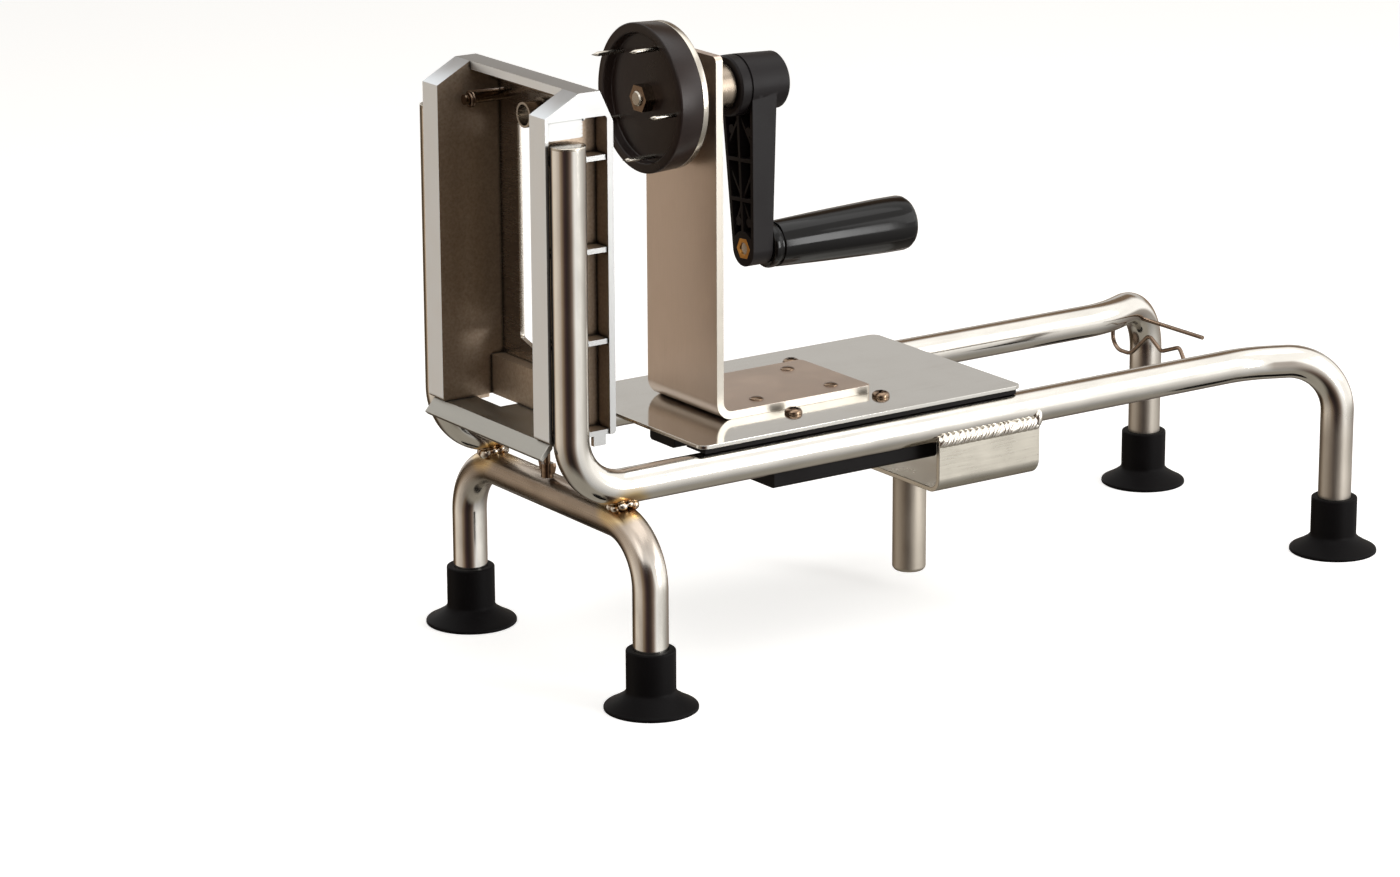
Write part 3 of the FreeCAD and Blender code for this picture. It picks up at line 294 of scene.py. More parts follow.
def extrude_ring(shape, edges, matrix):
    """Extrudes a ring of edges and moves the new one. Gives its points and its edges."""
    made = bmesh.ops.extrude_edge_only(shape, edges=edges)["geom"]
    verts = [g for g in made if isinstance(g, bmesh.types.BMVert)]
    bmesh.ops.transform(shape, matrix=matrix, verts=verts)
    return verts, [g for g in made if isinstance(g, bmesh.types.BMEdge)
                   and g.verts[0] in verts and g.verts[1] in verts]


def swept_bar(name, points, bends, radius, sides, step_degrees=3.0):
    """Round bar of straight runs and tangent bends. The point attribute straight holds each
    place as it lay before bending: across the section in x and y, along the bar in z."""
    shape = bmesh.new()
    layer = shape.verts.layers.float_vector.new("straight")
    points = [Vector(p) for p in points]
    heading = (points[1] - points[0]).normalized()
    ring = bmesh.ops.create_circle(shape, cap_ends=False, segments=sides, radius=radius)["verts"]
    for vert in ring:
        vert[layer] = vert.co.copy()
    bmesh.ops.transform(shape, matrix=facing(heading, points[0]), verts=ring)
    first = shape.edges[:]
    state = {"edges": first, "run": 0.0}

    def grow(matrix, length):
        verts, state["edges"] = extrude_ring(shape, state["edges"], matrix)
        state["run"] += length
        for vert in verts:
            flat = vert[layer]
            vert[layer] = Vector((flat.x, flat.y, state["run"]))

    def grow_straight(run):
        pieces = max(1, round(run.length / (RUN_STEP * radius)))
        for _ in range(pieces):
            grow(Matrix.Translation(run / pieces), run.length / pieces)

    start = points[0]
    for i, bend in enumerate(bends):
        corner = points[i + 1]
        back = (points[i] - corner).normalized()
        ahead = (points[i + 2] - corner).normalized()
        half = back.angle(ahead) / 2
        reach = bend / math.tan(half)
        centre = corner + (back + ahead).normalized() * (bend / math.sin(half))
        arc_start = corner + back * reach
        grow_straight(arc_start - start)
        sweep = math.pi - 2 * half
        axis = (arc_start - centre).cross(-back).normalized()
        steps = max(4, round(math.degrees(sweep) / step_degrees))
        about = Matrix.Translation(centre) @ Matrix.Rotation(sweep / steps, 4, axis) \
            @ Matrix.Translation(-centre)
        for _ in range(steps):
            grow(about, bend * sweep / steps)
        start = corner + ahead * reach
    grow_straight(points[-1] - start)
    for ends in (first, state["edges"]):
        bmesh.ops.contextual_create(shape, geom=ends)
    return finish_mesh(name, shape)


def stainless_tube(name, colour, rough_low, rough_high, leg_painted_colour, leg_rough):
    """Stainless tube with fine draw lines along it that blur what it mirrors. The legs are
    rougher and painted in a colour of their own, a painted reflection of what they mirror near
    the floor, and the front welds leave a straw and brown tint."""
    material, tree = new_material(name)
    # draw lines 0.7 mm apart, as coarse as they need to show, and clouds 6 mm across
    flat = add(tree, "Attribute", attribute_name="straight").outputs["Vector"]
    lines_place = add(tree, "Mapping", Vector=flat, Scale=(1400, 1400, 18))
    lines = add(tree, "TexNoise", Vector=lines_place, Scale=1.0, Detail=3.0)
    cloud_place = add(tree, "Mapping", Vector=flat, Scale=(160, 160, 50))
    cloud = add(tree, "TexNoise", Vector=cloud_place, Scale=1.0, Detail=4.0)
    blend = add(tree, "Math", lines, cloud, operation="MULTIPLY")
    rough = add(tree, "MapRange", Value=blend, From_Min=0.1, From_Max=0.45, To_Min=rough_low,
                To_Max=rough_high)
    place = add(tree, "TexCoord").outputs["Object"]
    up = add(tree, "SeparateXYZ", place).outputs["Z"]
    leg = add(tree, "MapRange", Value=up, From_Min=LEG_BELOW, From_Max=LEG_BELOW + LEG_BLEND,
              To_Min=1.0, To_Max=0.0, interpolation_type="SMOOTHSTEP")
    more = add(tree, "Math", leg, leg_rough, operation="MULTIPLY")
    rough = add(tree, "Math", rough, more, operation="ADD")
    tint = 0.0
    for y in (-RAIL_HALF_SPACING, RAIL_HALF_SPACING):
        apart = add(tree, "VectorMath", place, (WELD_X, y, WELD_Z), operation="DISTANCE")
        near = add(tree, "MapRange", Value=apart, From_Min=TINT_FROM, From_Max=TINT_TO,
                   To_Min=1.0, To_Max=0.0, interpolation_type="SMOOTHSTEP")
        tint = add(tree, "Math", tint, near, operation="MAXIMUM")
    tint = add(tree, "Math", tint, cloud, operation="MULTIPLY")
    heat = add(tree, "ValToRGB", Fac=tint)
    colour_stops(heat, ((0.0, colour), (0.25, "#cdb68c"), (0.62, "#8a6038")))
    patch = add(tree, "MapRange", Value=cloud, From_Min=0.3, From_Max=0.7,
                To_Min=1 - PATCHY * rough_high, To_Max=1.0)
    # painted reflection: the legs take their own colour, darker on the rails' legs for the shade
    # they mirror under the machine, paler on the front legs as a painted highlight
    where = add(tree, "Mix", Factor=leg, A=heat, B=linear(leg_painted_colour), data_type="RGBA")
    tone = add(tree, "VectorMath", where, Scale=patch, operation="SCALE")
    bump = add(tree, "Bump", Height=lines, Strength=0.15, Distance=0.04 * MM)
    steel = add(tree, "BsdfPrincipled", Base_Color=tone, Metallic=1.0, Roughness=rough,
                Normal=bump)
    add(tree, "OutputMaterial", Surface=steel)
    return material


rail_low, rail_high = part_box("near_rail_tube")
cross_low, cross_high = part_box("front_leg_tube")
POST_X = rail_low.x + TUBE_RADIUS
REAR_LEG_X = rail_high.x - TUBE_RADIUS
REAR_LEG_Y = -rail_low.y - TUBE_RADIUS
POST_TUBE_TOP = rail_high.z
FRONT_LEG_X = (cross_low.x + cross_high.x) / 2
FRONT_LEG_Y = cross_high.y - TUBE_RADIUS
CROSS_HEIGHT = cross_high.z - TUBE_RADIUS
RAIL_HEIGHT = CROSS_HEIGHT + 2 * TUBE_RADIUS
WELD_X = FRONT_LEG_X
WELD_Z = CROSS_HEIGHT + TUBE_RADIUS
tube_steel = stainless_tube("polished_stainless_tube", "#cfcbc4", 0.08, 0.19, "#aca59b", 0.31)
# the cross tube's darker brown base is painted shade and the brown it mirrors under the rails;
# its front legs' pale colour is a painted highlight
cross_steel = stainless_tube("stainless_tube_brown_shade", "#a89c90", 0.22, 0.40, "#dad6cf", -0.16)

for side, name in ((-1, "near_rail_tube"), (1, "far_rail_tube")):
    route = [
        (POST_X, side * RAIL_HALF_SPACING, POST_TUBE_TOP),
        (POST_X, side * RAIL_HALF_SPACING, RAIL_HEIGHT),
        (REAR_LEG_X - SPLAY_RUN, side * RAIL_HALF_SPACING, RAIL_HEIGHT),
        (REAR_LEG_X, side * REAR_LEG_Y, RAIL_HEIGHT),
        (REAR_LEG_X, side * REAR_LEG_Y, LEG_END),
    ]
    bar = swept_bar(name + "_bent", route, (BEND_RADIUS, SPLAY_BEND_RADIUS, BEND_RADIUS),
                    TUBE_RADIUS, TUBE_SIDES)
    place_piece(bar, "frame", "polished_tube", tube_steel, name)

route = [
    (FRONT_LEG_X, -FRONT_LEG_Y, LEG_END), (FRONT_LEG_X, -FRONT_LEG_Y, CROSS_HEIGHT),
    (FRONT_LEG_X, FRONT_LEG_Y, CROSS_HEIGHT), (FRONT_LEG_X, FRONT_LEG_Y, LEG_END),
]
bar = swept_bar("front_leg_tube_bent", route, (BEND_RADIUS, BEND_RADIUS), TUBE_RADIUS, TUBE_SIDES)
place_piece(bar, "frame", "polished_tube", cross_steel, "front_leg_tube")


# ---------------------------------------------------------------- post caps
# Pressed stainless caps that close the tops of the two posts, with a rounded rim.
CAP_THICKNESS = 1.2 * MM
CAP_ROUND = 0.45 * MM


def turned(name, outline, place, axis, segments=96):
    """A turned piece. The outline runs (along, radius, corner round) in metres; the axis is
    a unit vector through place, and the round of a corner may be left out."""
    shape = bmesh.new()
    verts = [shape.verts.new((item[1], 0, item[0])) for item in outline]
    for a, b in zip(verts, verts[1:]):
        shape.edges.new((a, b))
    rounds = {}
    for vert, item in zip(verts, outline):
        if len(item) > 2:
            rounds.setdefault(item[2], []).append(vert)
    for offset, corners in rounds.items():
        bmesh.ops.bevel(shape, geom=corners, offset=offset, offset_type="OFFSET", segments=4,
                        profile=0.5, affect="VERTICES", material=-1)
    bmesh.ops.spin(shape, geom=shape.verts[:] + shape.edges[:], cent=(0, 0, 0), axis=(0, 0, 1),
                   dvec=(0, 0, 0), angle=math.tau, steps=segments, use_merge=True)
    bmesh.ops.remove_doubles(shape, verts=shape.verts, dist=1e-7)
    bmesh.ops.transform(shape, matrix=facing(axis, place), verts=shape.verts)
    return finish_mesh(name, shape)


def turned_stainless(name, colour):
    """Stainless bar turned on a lathe: fine rings that stretch the highlight, drawn 0.4 mm
    apart, as coarse as they need to show."""
    material, tree = new_material(name)
    place = add(tree, "TexCoord").outputs["Object"]
    grain_place = add(tree, "Mapping", Vector=place, Scale=(2500, 260, 260))
    grain = add(tree, "TexNoise", Vector=grain_place, Scale=1.0, Detail=2.0)
    rough = add(tree, "MapRange", Value=grain, To_Min=0.16, To_Max=0.34)
    bump = add(tree, "Bump", Height=grain, Strength=0.15, Distance=0.02 * MM)
    steel = add(tree, "BsdfPrincipled", Base_Color=linear(colour), Metallic=1.0, Roughness=rough,
                Anisotropic=0.35, Normal=bump)
    add(tree, "OutputMaterial", Surface=steel)
    return material


turned_steel = turned_stainless("turned_stainless_bar", "#a8a298")
# the bush's darker, browner base is a painted reflection of the brown upright and hub round it
bush_steel = turned_stainless("turned_bush_steel", "#8f8375")
for side, name in ((-1, "near_post_cap"), (1, "far_post_cap")):
    outline = [(0, 0), (0, TUBE_RADIUS), (CAP_THICKNESS, TUBE_RADIUS, CAP_ROUND),
               (CAP_THICKNESS, 0)]
    cap = turned(name, outline, (POST_X, side * RAIL_HALF_SPACING, POST_TUBE_TOP), (0, 0, 1))
    place_piece(cap, "frame", "polished_tube", turned_steel, "post_caps")


# ---------------------------------------------------------------- welds
# Hand-laid beads: a ring of overlapping puddles where each rail sits on the cross tube, and a
# rippled bead along each wall of the bracket where it meets its rail.
SADDLE_RING = 4.8 * MM
SADDLE_DROPS = 9
DROP_SIZE = (2.3 * MM, 1.9 * MM, 1.9 * MM)
DROP_VARIES = 0.7
DROP_LEANS = 0.6
RUN_TOGETHER = 0.2 * MM


def puddles(name, places):
    """Overlapping drops of weld metal, run together. Each place is a point and the way that
    the drop faces."""
    shape = bmesh.new()
    for i, (centre, outward) in enumerate(places):
        # any fixed walk through the noise makes the drops uneven
        wobble = noise.noise(Vector((i * 1.7, centre.y * 90, 3.1)))
        drop = bmesh.ops.create_icosphere(shape, subdivisions=3, radius=1.0)["verts"]
        spread = Matrix.Diagonal((*(v * (1 + DROP_VARIES * wobble) for v in DROP_SIZE), 1))
        lean = Matrix.Rotation(DROP_LEANS * wobble, 4, "Y")
        place = Matrix.Translation(centre) @ outward.to_track_quat("Y", "Z").to_matrix().to_4x4()
        bmesh.ops.transform(shape, matrix=place @ lean @ spread, verts=drop)
    piece = finish_mesh(name, shape, 180)
    run = piece.modifiers.new("run_together", "REMESH")
    run.mode = "VOXEL"
    run.voxel_size = RUN_TOGETHER
    run.use_smooth_shade = True
    soft = piece.modifiers.new("surface_tension", "SMOOTH")
    soft.factor = 0.5
    soft.iterations = 3
    return piece


def weld_metal(tint, tinted_below, clean_above):
    """Weld metal, wire brushed: bright ripples, with the heat's tint left in the hollows."""
    material, tree = new_material("wire_brushed_weld")
    place = add(tree, "TexCoord").outputs["Object"]
    cloud = add(tree, "TexNoise", Vector=place, Scale=420.0, Detail=4.0)
    colour = add(tree, "ValToRGB", Fac=cloud)
    colour_stops(colour, ((tinted_below, tint), (clean_above, "#c9c4bb")))
    bump = add(tree, "Bump", Height=cloud, Strength=0.35, Distance=0.2 * MM)
    steel = add(tree, "BsdfPrincipled", Base_Color=colour, Metallic=1.0, Roughness=0.24,
                Normal=bump)
    add(tree, "OutputMaterial", Surface=steel)
    return material


weld_steel = weld_metal("#7c5a34", 0.34, 0.56)
bead_steel = weld_metal("#9a8f80", 0.2, 0.35)
for side, name in ((-1, "near_saddle_weld"), (1, "far_saddle_weld")):
    places = []
    for i in range(SADDLE_DROPS):
        angle = math.tau * i / SADDLE_DROPS
        dx = SADDLE_RING * math.cos(angle)
        dy = SADDLE_RING * math.sin(angle)
        under = CROSS_HEIGHT + math.sqrt(TUBE_RADIUS ** 2 - dx ** 2)
        over = RAIL_HEIGHT - math.sqrt(TUBE_RADIUS ** 2 - dy ** 2)
        point = Vector((WELD_X + dx, side * RAIL_HALF_SPACING + dy, (under + over) / 2))
        places.append((point, Vector((dx, dy, 0)).normalized()))
    place_piece(puddles(name, places), "frame", "polished_tube", weld_steel)


# ---------------------------------------------------------------- suction feet
# Four feet moulded in black rubber: a sleeve that the tube end is pushed into, on a thin
# cone that grips the table, hollow underneath.
FOOT_EDGE = 18.5 * MM
FOOT_SLEEVE = 9.75 * MM
FOOT_HEIGHT = 24.0 * MM


def mottled(name, dark, pale, scale, detail, rough, metallic=0.0, shine=0.5, span=(0, 1),
            skin=None):
    """A material in two close tones, in patches of 1 / scale metres. Where rough is a pair, it
    follows the patches between the two places of span. The skin is a fine grain that stands
    out as bump: its scale, strength and depth."""
    material, tree = new_material(name)
    place = add(tree, "TexCoord").outputs["Object"]
    patch = add(tree, "TexNoise", Vector=place, Scale=scale, Detail=detail)
    colour = add(tree, "Mix", Factor=patch, A=linear(dark), B=linear(pale), data_type="RGBA")
    if isinstance(rough, tuple):
        rough = add(tree, "MapRange", Value=patch, From_Min=span[0], From_Max=span[1],
                    To_Min=rough[0], To_Max=rough[1])
    body = add(tree, "BsdfPrincipled", Base_Color=colour, Metallic=metallic, Roughness=rough,
               Specular_IOR_Level=shine)
    if skin:
        grain = add(tree, "TexNoise", Vector=place, Scale=skin[0], Detail=2.0)
        bump = add(tree, "Bump", Height=grain, Strength=skin[1], Distance=skin[2])
        tree.links.new(bump.outputs[0], body.inputs["Normal"])
    add(tree, "OutputMaterial", Surface=body)
    return material


# moulded black rubber: dull, with a faint grey bloom and a fine pitted skin
rubber = mottled("moulded_black_rubber", "#070606", "#0e0c0d", 90.0, 5.0, (0.42, 0.62),
                 shine=0.05, skin=(1600.0, 0.25, 0.05 * MM))
foot_outline = [
    (3.2 * MM, 0), (2.4 * MM, FOOT_EDGE * 0.55, 1.2 * MM), (0, FOOT_EDGE - 2.0 * MM, 0.4 * MM),
    (0, FOOT_EDGE, 0.35 * MM), (1.3 * MM, FOOT_EDGE, 0.5 * MM), (3.3 * MM, 14.6 * MM, 2.0 * MM),
    (5.8 * MM, FOOT_SLEEVE + 1.1 * MM, 1.2 * MM), (7.3 * MM, FOOT_SLEEVE, 0.8 * MM),
    (FOOT_HEIGHT, FOOT_SLEEVE, 0.7 * MM), (FOOT_HEIGHT, TUBE_RADIUS, 0.3 * MM),
    (LEG_END, TUBE_RADIUS), (LEG_END, 0),
]
for name in ("front_near_foot", "front_far_foot", "rear_near_foot", "rear_far_foot"):
    low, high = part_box(name)
    middle = (low + high) / 2
    foot = turned(name + "_moulded", foot_outline, (middle.x, middle.y, low.z), (0, 0, 1))
    place_piece(foot, "frame", "foot_rubber", rubber, name)


# ---------------------------------------------------------------- sheet and bar work
# Bracket, housing seat, upright and carriage plate: stainless sheet and flat bar, cut, bent
# and linished along its length, with the arrises broken.
def eased(name, node, width, segments=2, smooth_angle=35.0, marked=None):
    """A bench copy of a piece with every arris broken by a small round. The face attribute
    marked holds what the function marked gives for each face's centre and normal."""
    shape = bmesh.new()
    shape.from_mesh(cad_nodes[node].data)
    bmesh.ops.remove_doubles(shape, verts=shape.verts, dist=2e-6)
    bmesh.ops.dissolve_limit(shape, angle_limit=math.radians(0.6), verts=shape.verts,
                             edges=shape.edges)
    if marked:
        layer = shape.faces.layers.float.new("marked")
        for face in shape.faces:
            face[layer] = float(marked(face.calc_center_median(), face.normal))
    mesh = bpy.data.meshes.new(name)
    shape.to_mesh(mesh)
    shape.free()
    mesh.shade_smooth()
    piece = link_object(name, mesh)
    if width:
        broken = piece.modifiers.new("broken_arris", "BEVEL")
        broken.width = width
        broken.segments = segments
        broken.limit_method = "ANGLE"
        broken.angle_limit = math.radians(smooth_angle)
        flat = piece.modifiers.new("flat_faces_stay_flat", "WEIGHTED_NORMAL")
        flat.keep_sharp = True
    else:
        mesh.set_sharp_from_angle(angle=math.radians(smooth_angle))
    return piece


def linished(name, colour, scale, rough_low, rough_high, depth, side_face_shade=None):
    """Stainless linished on a belt: long scratches along the axes where the scale is low, and
    soft clouds where the belt bore harder. Marked faces take a darker colour of their own,
    painted shade."""
    material, tree = new_material(name)
    place = add(tree, "TexCoord").outputs["Object"]
    # scratches 0.5 mm apart or more, as coarse as they need to show, and clouds of 13 mm
    grain_place = add(tree, "Mapping", Vector=place, Scale=scale)
    grain = add(tree, "TexNoise", Vector=grain_place, Scale=1.0, Detail=4.0, Roughness=0.62)
    cloud = add(tree, "TexNoise", Vector=place, Scale=75.0, Detail=3.0)
    both = add(tree, "Math", grain, cloud, operation="ADD")
    rough = add(tree, "MapRange", Value=both, From_Min=0.6, From_Max=1.4, To_Min=rough_low,
                To_Max=rough_high)
    shade = add(tree, "MapRange", Value=both, From_Min=0.6, From_Max=1.4, To_Min=0.9, To_Max=1.06)
    cut = add(tree, "Attribute", attribute_name="marked").outputs["Fac"]
    tone_with_side_shade = add(tree, "Mix", Factor=cut, A=linear(colour), B=linear(side_face_shade or colour),
               data_type="RGBA")
    tone = add(tree, "VectorMath", tone_with_side_shade, Scale=shade, operation="SCALE")
    bump = add(tree, "Bump", Height=grain, Strength=0.3, Distance=depth)
    steel = add(tree, "BsdfPrincipled", Base_Color=tone, Metallic=1.0, Roughness=rough,
                Normal=bump)
    add(tree, "OutputMaterial", Surface=steel)
    return material


# the bar's grain runs along its length, up the wall and back along the foot
upright_steel = linished("linished_flat_bar", "#c2b2a5", (55, 1900, 55), 0.30, 0.46, 0.03 * MM,
                         "#a5a097")
bracket_steel = linished("linished_sheet", "#b2ada2", (60, 60, 1500), 0.22, 0.38, 0.03 * MM)
seat_steel = linished("satin_seat_sheet", "#989690", (900, 60, 60), 0.30, 0.5, 0.06 * MM)
# the faces that look along Y are marked and take a greyer, darker colour of their own: painted
# shade for the way they face the room
upright_bar = eased("upright_bar", "upright", 0.35 * MM, 3,
                    marked=lambda centre, normal: abs(normal.y) > 0.9)
place_piece(upright_bar, "carriage", "satin_sheet", upright_steel, "upright")
for name, node, width, steel in (("bent_bracket", "leg_bracket", 0.3 * MM, bracket_steel),
                                 ("seat_sheet", "housing_seat", 0.25 * MM, seat_steel)):
    place_piece(eased(name, node, width), "frame", "satin_sheet", steel, node)


def mirror_stainless():
    """Bright rolled sheet under a mirror polish: nearly clean reflections, with a breath of
    haze and a few hair scratches."""
    material, tree = new_material("mirror_polished_sheet")
    place = add(tree, "TexCoord").outputs["Object"]
    # haze in patches of 17 mm, and scratches 0.4 mm apart
    haze = add(tree, "TexNoise", Vector=place, Scale=60.0, Detail=5.0)
    hair_place = add(tree, "Mapping", Vector=place, Rotation=(0, 0, 0.12), Scale=(40, 2600, 40))
    hair = add(tree, "TexNoise", Vector=hair_place, Scale=1.0, Detail=2.0)
    mixed = add(tree, "Math", haze, hair, operation="MULTIPLY")
    rough = add(tree, "MapRange", Value=mixed, From_Min=0.1, From_Max=0.45, To_Min=0.06,
                To_Max=0.17)
    bump = add(tree, "Bump", Height=hair, Strength=0.05, Distance=0.02 * MM)
    steel = add(tree, "BsdfPrincipled", Base_Color=linear("#c2c0bb"), Metallic=1.0,
                Roughness=rough, Normal=bump)
    add(tree, "OutputMaterial", Surface=steel)
    return material


plate = eased("mirror_plate", "carriage_plate", 0.3 * MM)
place_piece(plate, "carriage", "mirror_sheet", mirror_stainless(), "carriage_plate")

BEAD_TALL = 2.6 * MM            # half of its height
BEAD_DEEP = 1.7 * MM
BEAD_STEP = 0.3 * MM
BEAD_IN = 0.75 * MM             # its middle inside the bracket's side and below its top
BEAD_DOWN = 0.7 * MM
BEAD_END = 3 * MM               # it thins out over this length, beginning 1 mm beyond its end
RIPPLE_PITCH = 2.9 * MM
RIPPLE_DEPTH = 0.45
RIPPLE_SLANT = 0.6
RIPPLE_WANDER = 0.8             # in pitches
UNEVEN = 0.15
LAST_DROP = (1.9 * MM, 2.0 * MM, 3.9 * MM)
bracket_low, bracket_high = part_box("leg_bracket")
bead_z = bracket_high.z - BEAD_DOWN
for side, name in ((-1, "near_bracket_weld"), (1, "far_bracket_weld")):
    bead_y = side * (bracket_high.y - BEAD_IN)
    shape = bmesh.new()
    loop = bmesh.ops.create_circle(shape, cap_ends=True, segments=36, radius=1.0)["verts"]
    bmesh.ops.transform(shape, matrix=Matrix.Rotation(math.pi / 2, 4, "Y"), verts=loop)
    bmesh.ops.scale(shape, vec=(1, BEAD_DEEP, BEAD_TALL), verts=loop)
    bmesh.ops.translate(shape, vec=(bracket_low.x, bead_y, bead_z), verts=loop)
    front = shape.edges[:]
    for _ in range(round((bracket_high.x - bracket_low.x) / BEAD_STEP)):
        _, front = extrude_ring(shape, front, Matrix.Translation((BEAD_STEP, 0, 0)))
    bmesh.ops.contextual_create(shape, geom=front)
    # each puddle froze as a slanted crescent over the one before
    for vert in shape.verts:
        x, y, z = vert.co
        wander = RIPPLE_WANDER * noise.noise(Vector((x * 160, side * 4.0, 0)))
        phase = (x - RIPPLE_SLANT * (z - bead_z)) / RIPPLE_PITCH + wander
        crest = abs(math.sin(math.pi * phase)) ** 0.6
        inside = min(x - bracket_low.x, bracket_high.x - x) + MM
        uneven = UNEVEN * noise.noise(Vector((x * 60, side, 0)))
        swell = (1 + RIPPLE_DEPTH * (crest - 0.5) + uneven) * min(1.0, inside / BEAD_END) ** 0.5
        vert.co.y = bead_y + (y - bead_y) * swell
        vert.co.z = bead_z + (z - bead_z) * (swell if z > bead_z else 1)
    blob = bmesh.ops.create_icosphere(shape, subdivisions=4, radius=1.0)["verts"]
    at_end = Matrix.Translation((bracket_high.x - 0.6 * MM, bead_y + side * 0.2 * MM,
                                 bead_z + 2.0 * MM))
    spread = Matrix.Rotation(0.15, 4, "Y") @ Matrix.Diagonal((*LAST_DROP, 1))
    bmesh.ops.transform(shape, matrix=at_end @ spread, verts=blob)
    place_piece(finish_mesh(name, shape, 80), "frame", "satin_sheet", bead_steel)


# ---------------------------------------------------------------- centre stud
# A 14 mm stainless bar with a turned end, welded up into the bracket's floor.
stud_low, stud_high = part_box("centre_stud")
stud_middle = (stud_low + stud_high) / 2
STUD_RADIUS = (stud_high.x - stud_low.x) / 2
STUD_GROOVE = STUD_RADIUS - 0.5 * MM
stud_shoulder = bracket_low.z - stud_low.z
stud_outline = [
    (0, 0), (0, STUD_RADIUS - 1.0 * MM, 0.3 * MM), (1.2 * MM, STUD_RADIUS, 0.5 * MM),
    (stud_shoulder - 1 * MM, STUD_RADIUS, 0.2 * MM), (stud_shoulder - 1 * MM, STUD_GROOVE),
    (stud_shoulder, STUD_GROOVE), (stud_shoulder, 0),
]
stud = turned("stud_bar", stud_outline, (stud_middle.x, stud_middle.y, stud_low.z), (0, 0, 1))
drawn_bar = linished("drawn_bar", "#b0a89c", (900, 900, 30), 0.46, 0.58, 0.02 * MM)
place_piece(stud, "frame", "turned_bar", drawn_bar, "centre_stud")


# ---------------------------------------------------------------- blade housing
# A zinc die casting, plated bright: two webs and side walls with open windows, a hood over
# the top and a sill below. It slides down over the posts.
def plated_casting():
    """Plated zinc casting: bright over the slight waviness of the cast skin, with painted shade
    in its corners.
    The recesses and the inside are rougher and painted dark as shade; ends facing X are painted
    paler."""
    material, tree = new_material("bright_plated_casting")
    place = add(tree, "TexCoord").outputs["Object"]
    light_class = add(tree, "Attribute", attribute_name="marked").outputs["Fac"]
    end_on = add(tree, "MapRange", Value=light_class, From_Max=0.5)
    skin = add(tree, "MapRange", Value=light_class, From_Min=0.5)
    # the cast skin's waves are 9 mm across, and its grain 1.1 mm
    waves = add(tree, "TexNoise", Vector=place, Scale=110.0, Detail=3.0)
    grain = add(tree, "TexNoise", Vector=place, Scale=900.0, Detail=3.0)
    buffed = add(tree, "MapRange", Value=waves, To_Min=0.32, To_Max=0.46)
    rough = add(tree, "Mix", Factor=skin, A=buffed, B=0.52, data_type="FLOAT")
    # painted shade: the inside and the window floors and ribs take a dark brown mottled colour
    # for the shade in them
    recess_shade = add(tree, "Mix", Factor=grain, A=linear("#877565"), B=linear("#b5a592"),
                 data_type="RGBA")
    # painted light: the ends that look along X are painted pale blue-white and the sides darker
    # grey, for how light falls on them
    facing_tone = add(tree, "Mix", Factor=end_on, A=linear("#9b9b9a"), B=linear("#e8eff6"),
                 data_type="RGBA")
    colour = add(tree, "Mix", Factor=skin, A=facing_tone, B=recess_shade, data_type="RGBA")
    # painted shade: ambient occlusion darkens the colour in corners and creases, where shade
    # falls
    crease = add(tree, "AmbientOcclusion", Distance=2.4 * MM, samples=8)
    crease_shade = add(tree, "MapRange", Value=crease.outputs["AO"], From_Min=0.5, From_Max=0.86,
                To_Min=0.12, To_Max=1.0)
    colour = add(tree, "VectorMath", colour, Scale=crease_shade, operation="SCALE")
    height = add(tree, "Math", waves, grain, operation="ADD")
    firm = add(tree, "MapRange", Value=skin, To_Min=0.05, To_Max=0.35)
    bump = add(tree, "Bump", Height=height, Strength=firm, Distance=0.1 * MM)
    plating = add(tree, "BsdfPrincipled", Base_Color=colour, Metallic=1.0, Roughness=rough,
                  Normal=bump)
    add(tree, "OutputMaterial", Surface=plating)
    return material


housing_middle = sum(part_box("blade_housing"), Vector()) / 2
WEB_FACE = 35.6 * MM
RIB_END = 43.0 * MM
WINDOW_TOP = 230.0 * MM
BLOCK_LIFT = 1.3 * MM           # clearance over the post caps


def casting_light_class(centre, normal):
    """1 for the faces that look into the casting and the floors and ribs of its side windows,
    which are painted in shade; for the rest, from 0 on its sides to 0.5 on its ends along X,
    painted paler."""
    from_middle = centre - housing_middle
    in_window = WEB_FACE - 0.2 * MM < abs(centre.y) < RIB_END and centre.z < WINDOW_TOP
    if from_middle.dot(normal) < 0 or (in_window and abs(normal.x) < 0.9):
        return 1.0
    return 0.5 * abs(normal.x)


casting_plate = plated_casting()
housing = eased("plated_housing", "blade_housing", 0.25 * MM, 2, 32.0, casting_light_class)
cap_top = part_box("post_caps")[1].z
for vert in housing.data.vertices:
    if abs(vert.co.z - cap_top) < 0.1 * MM and abs(vert.co.y) > WEB_FACE - 0.1 * MM:
        vert.co.z += BLOCK_LIFT
place_piece(housing, "frame", "plated_casting", casting_plate, "blade_housing")


# ---------------------------------------------------------------- blades
# The slotted plate, the bent knife and the coring tube, ground from blade steel, with the
# knife's two cross-recessed screws.
blade_steel = linished("ground_blade_steel", "#a8a198", (60, 60, 1600), 0.18, 0.34, 0.02 * MM)
knife_steel = linished("honed_knife_steel", "#b4a993", (60, 60, 1200), 0.12, 0.26, 0.015 * MM)
for name, node, width, steel in (
        ("ground_cutting_plate", "cutting_plate", 0.15 * MM, blade_steel),
        ("honed_knife", "straight_knife", 0.06 * MM, knife_steel),
        ("coring_tube_ground", "coring_tube", 0.0, blade_steel)):
    place_piece(eased(name, node, width), "frame", "blade_steel", steel, node)

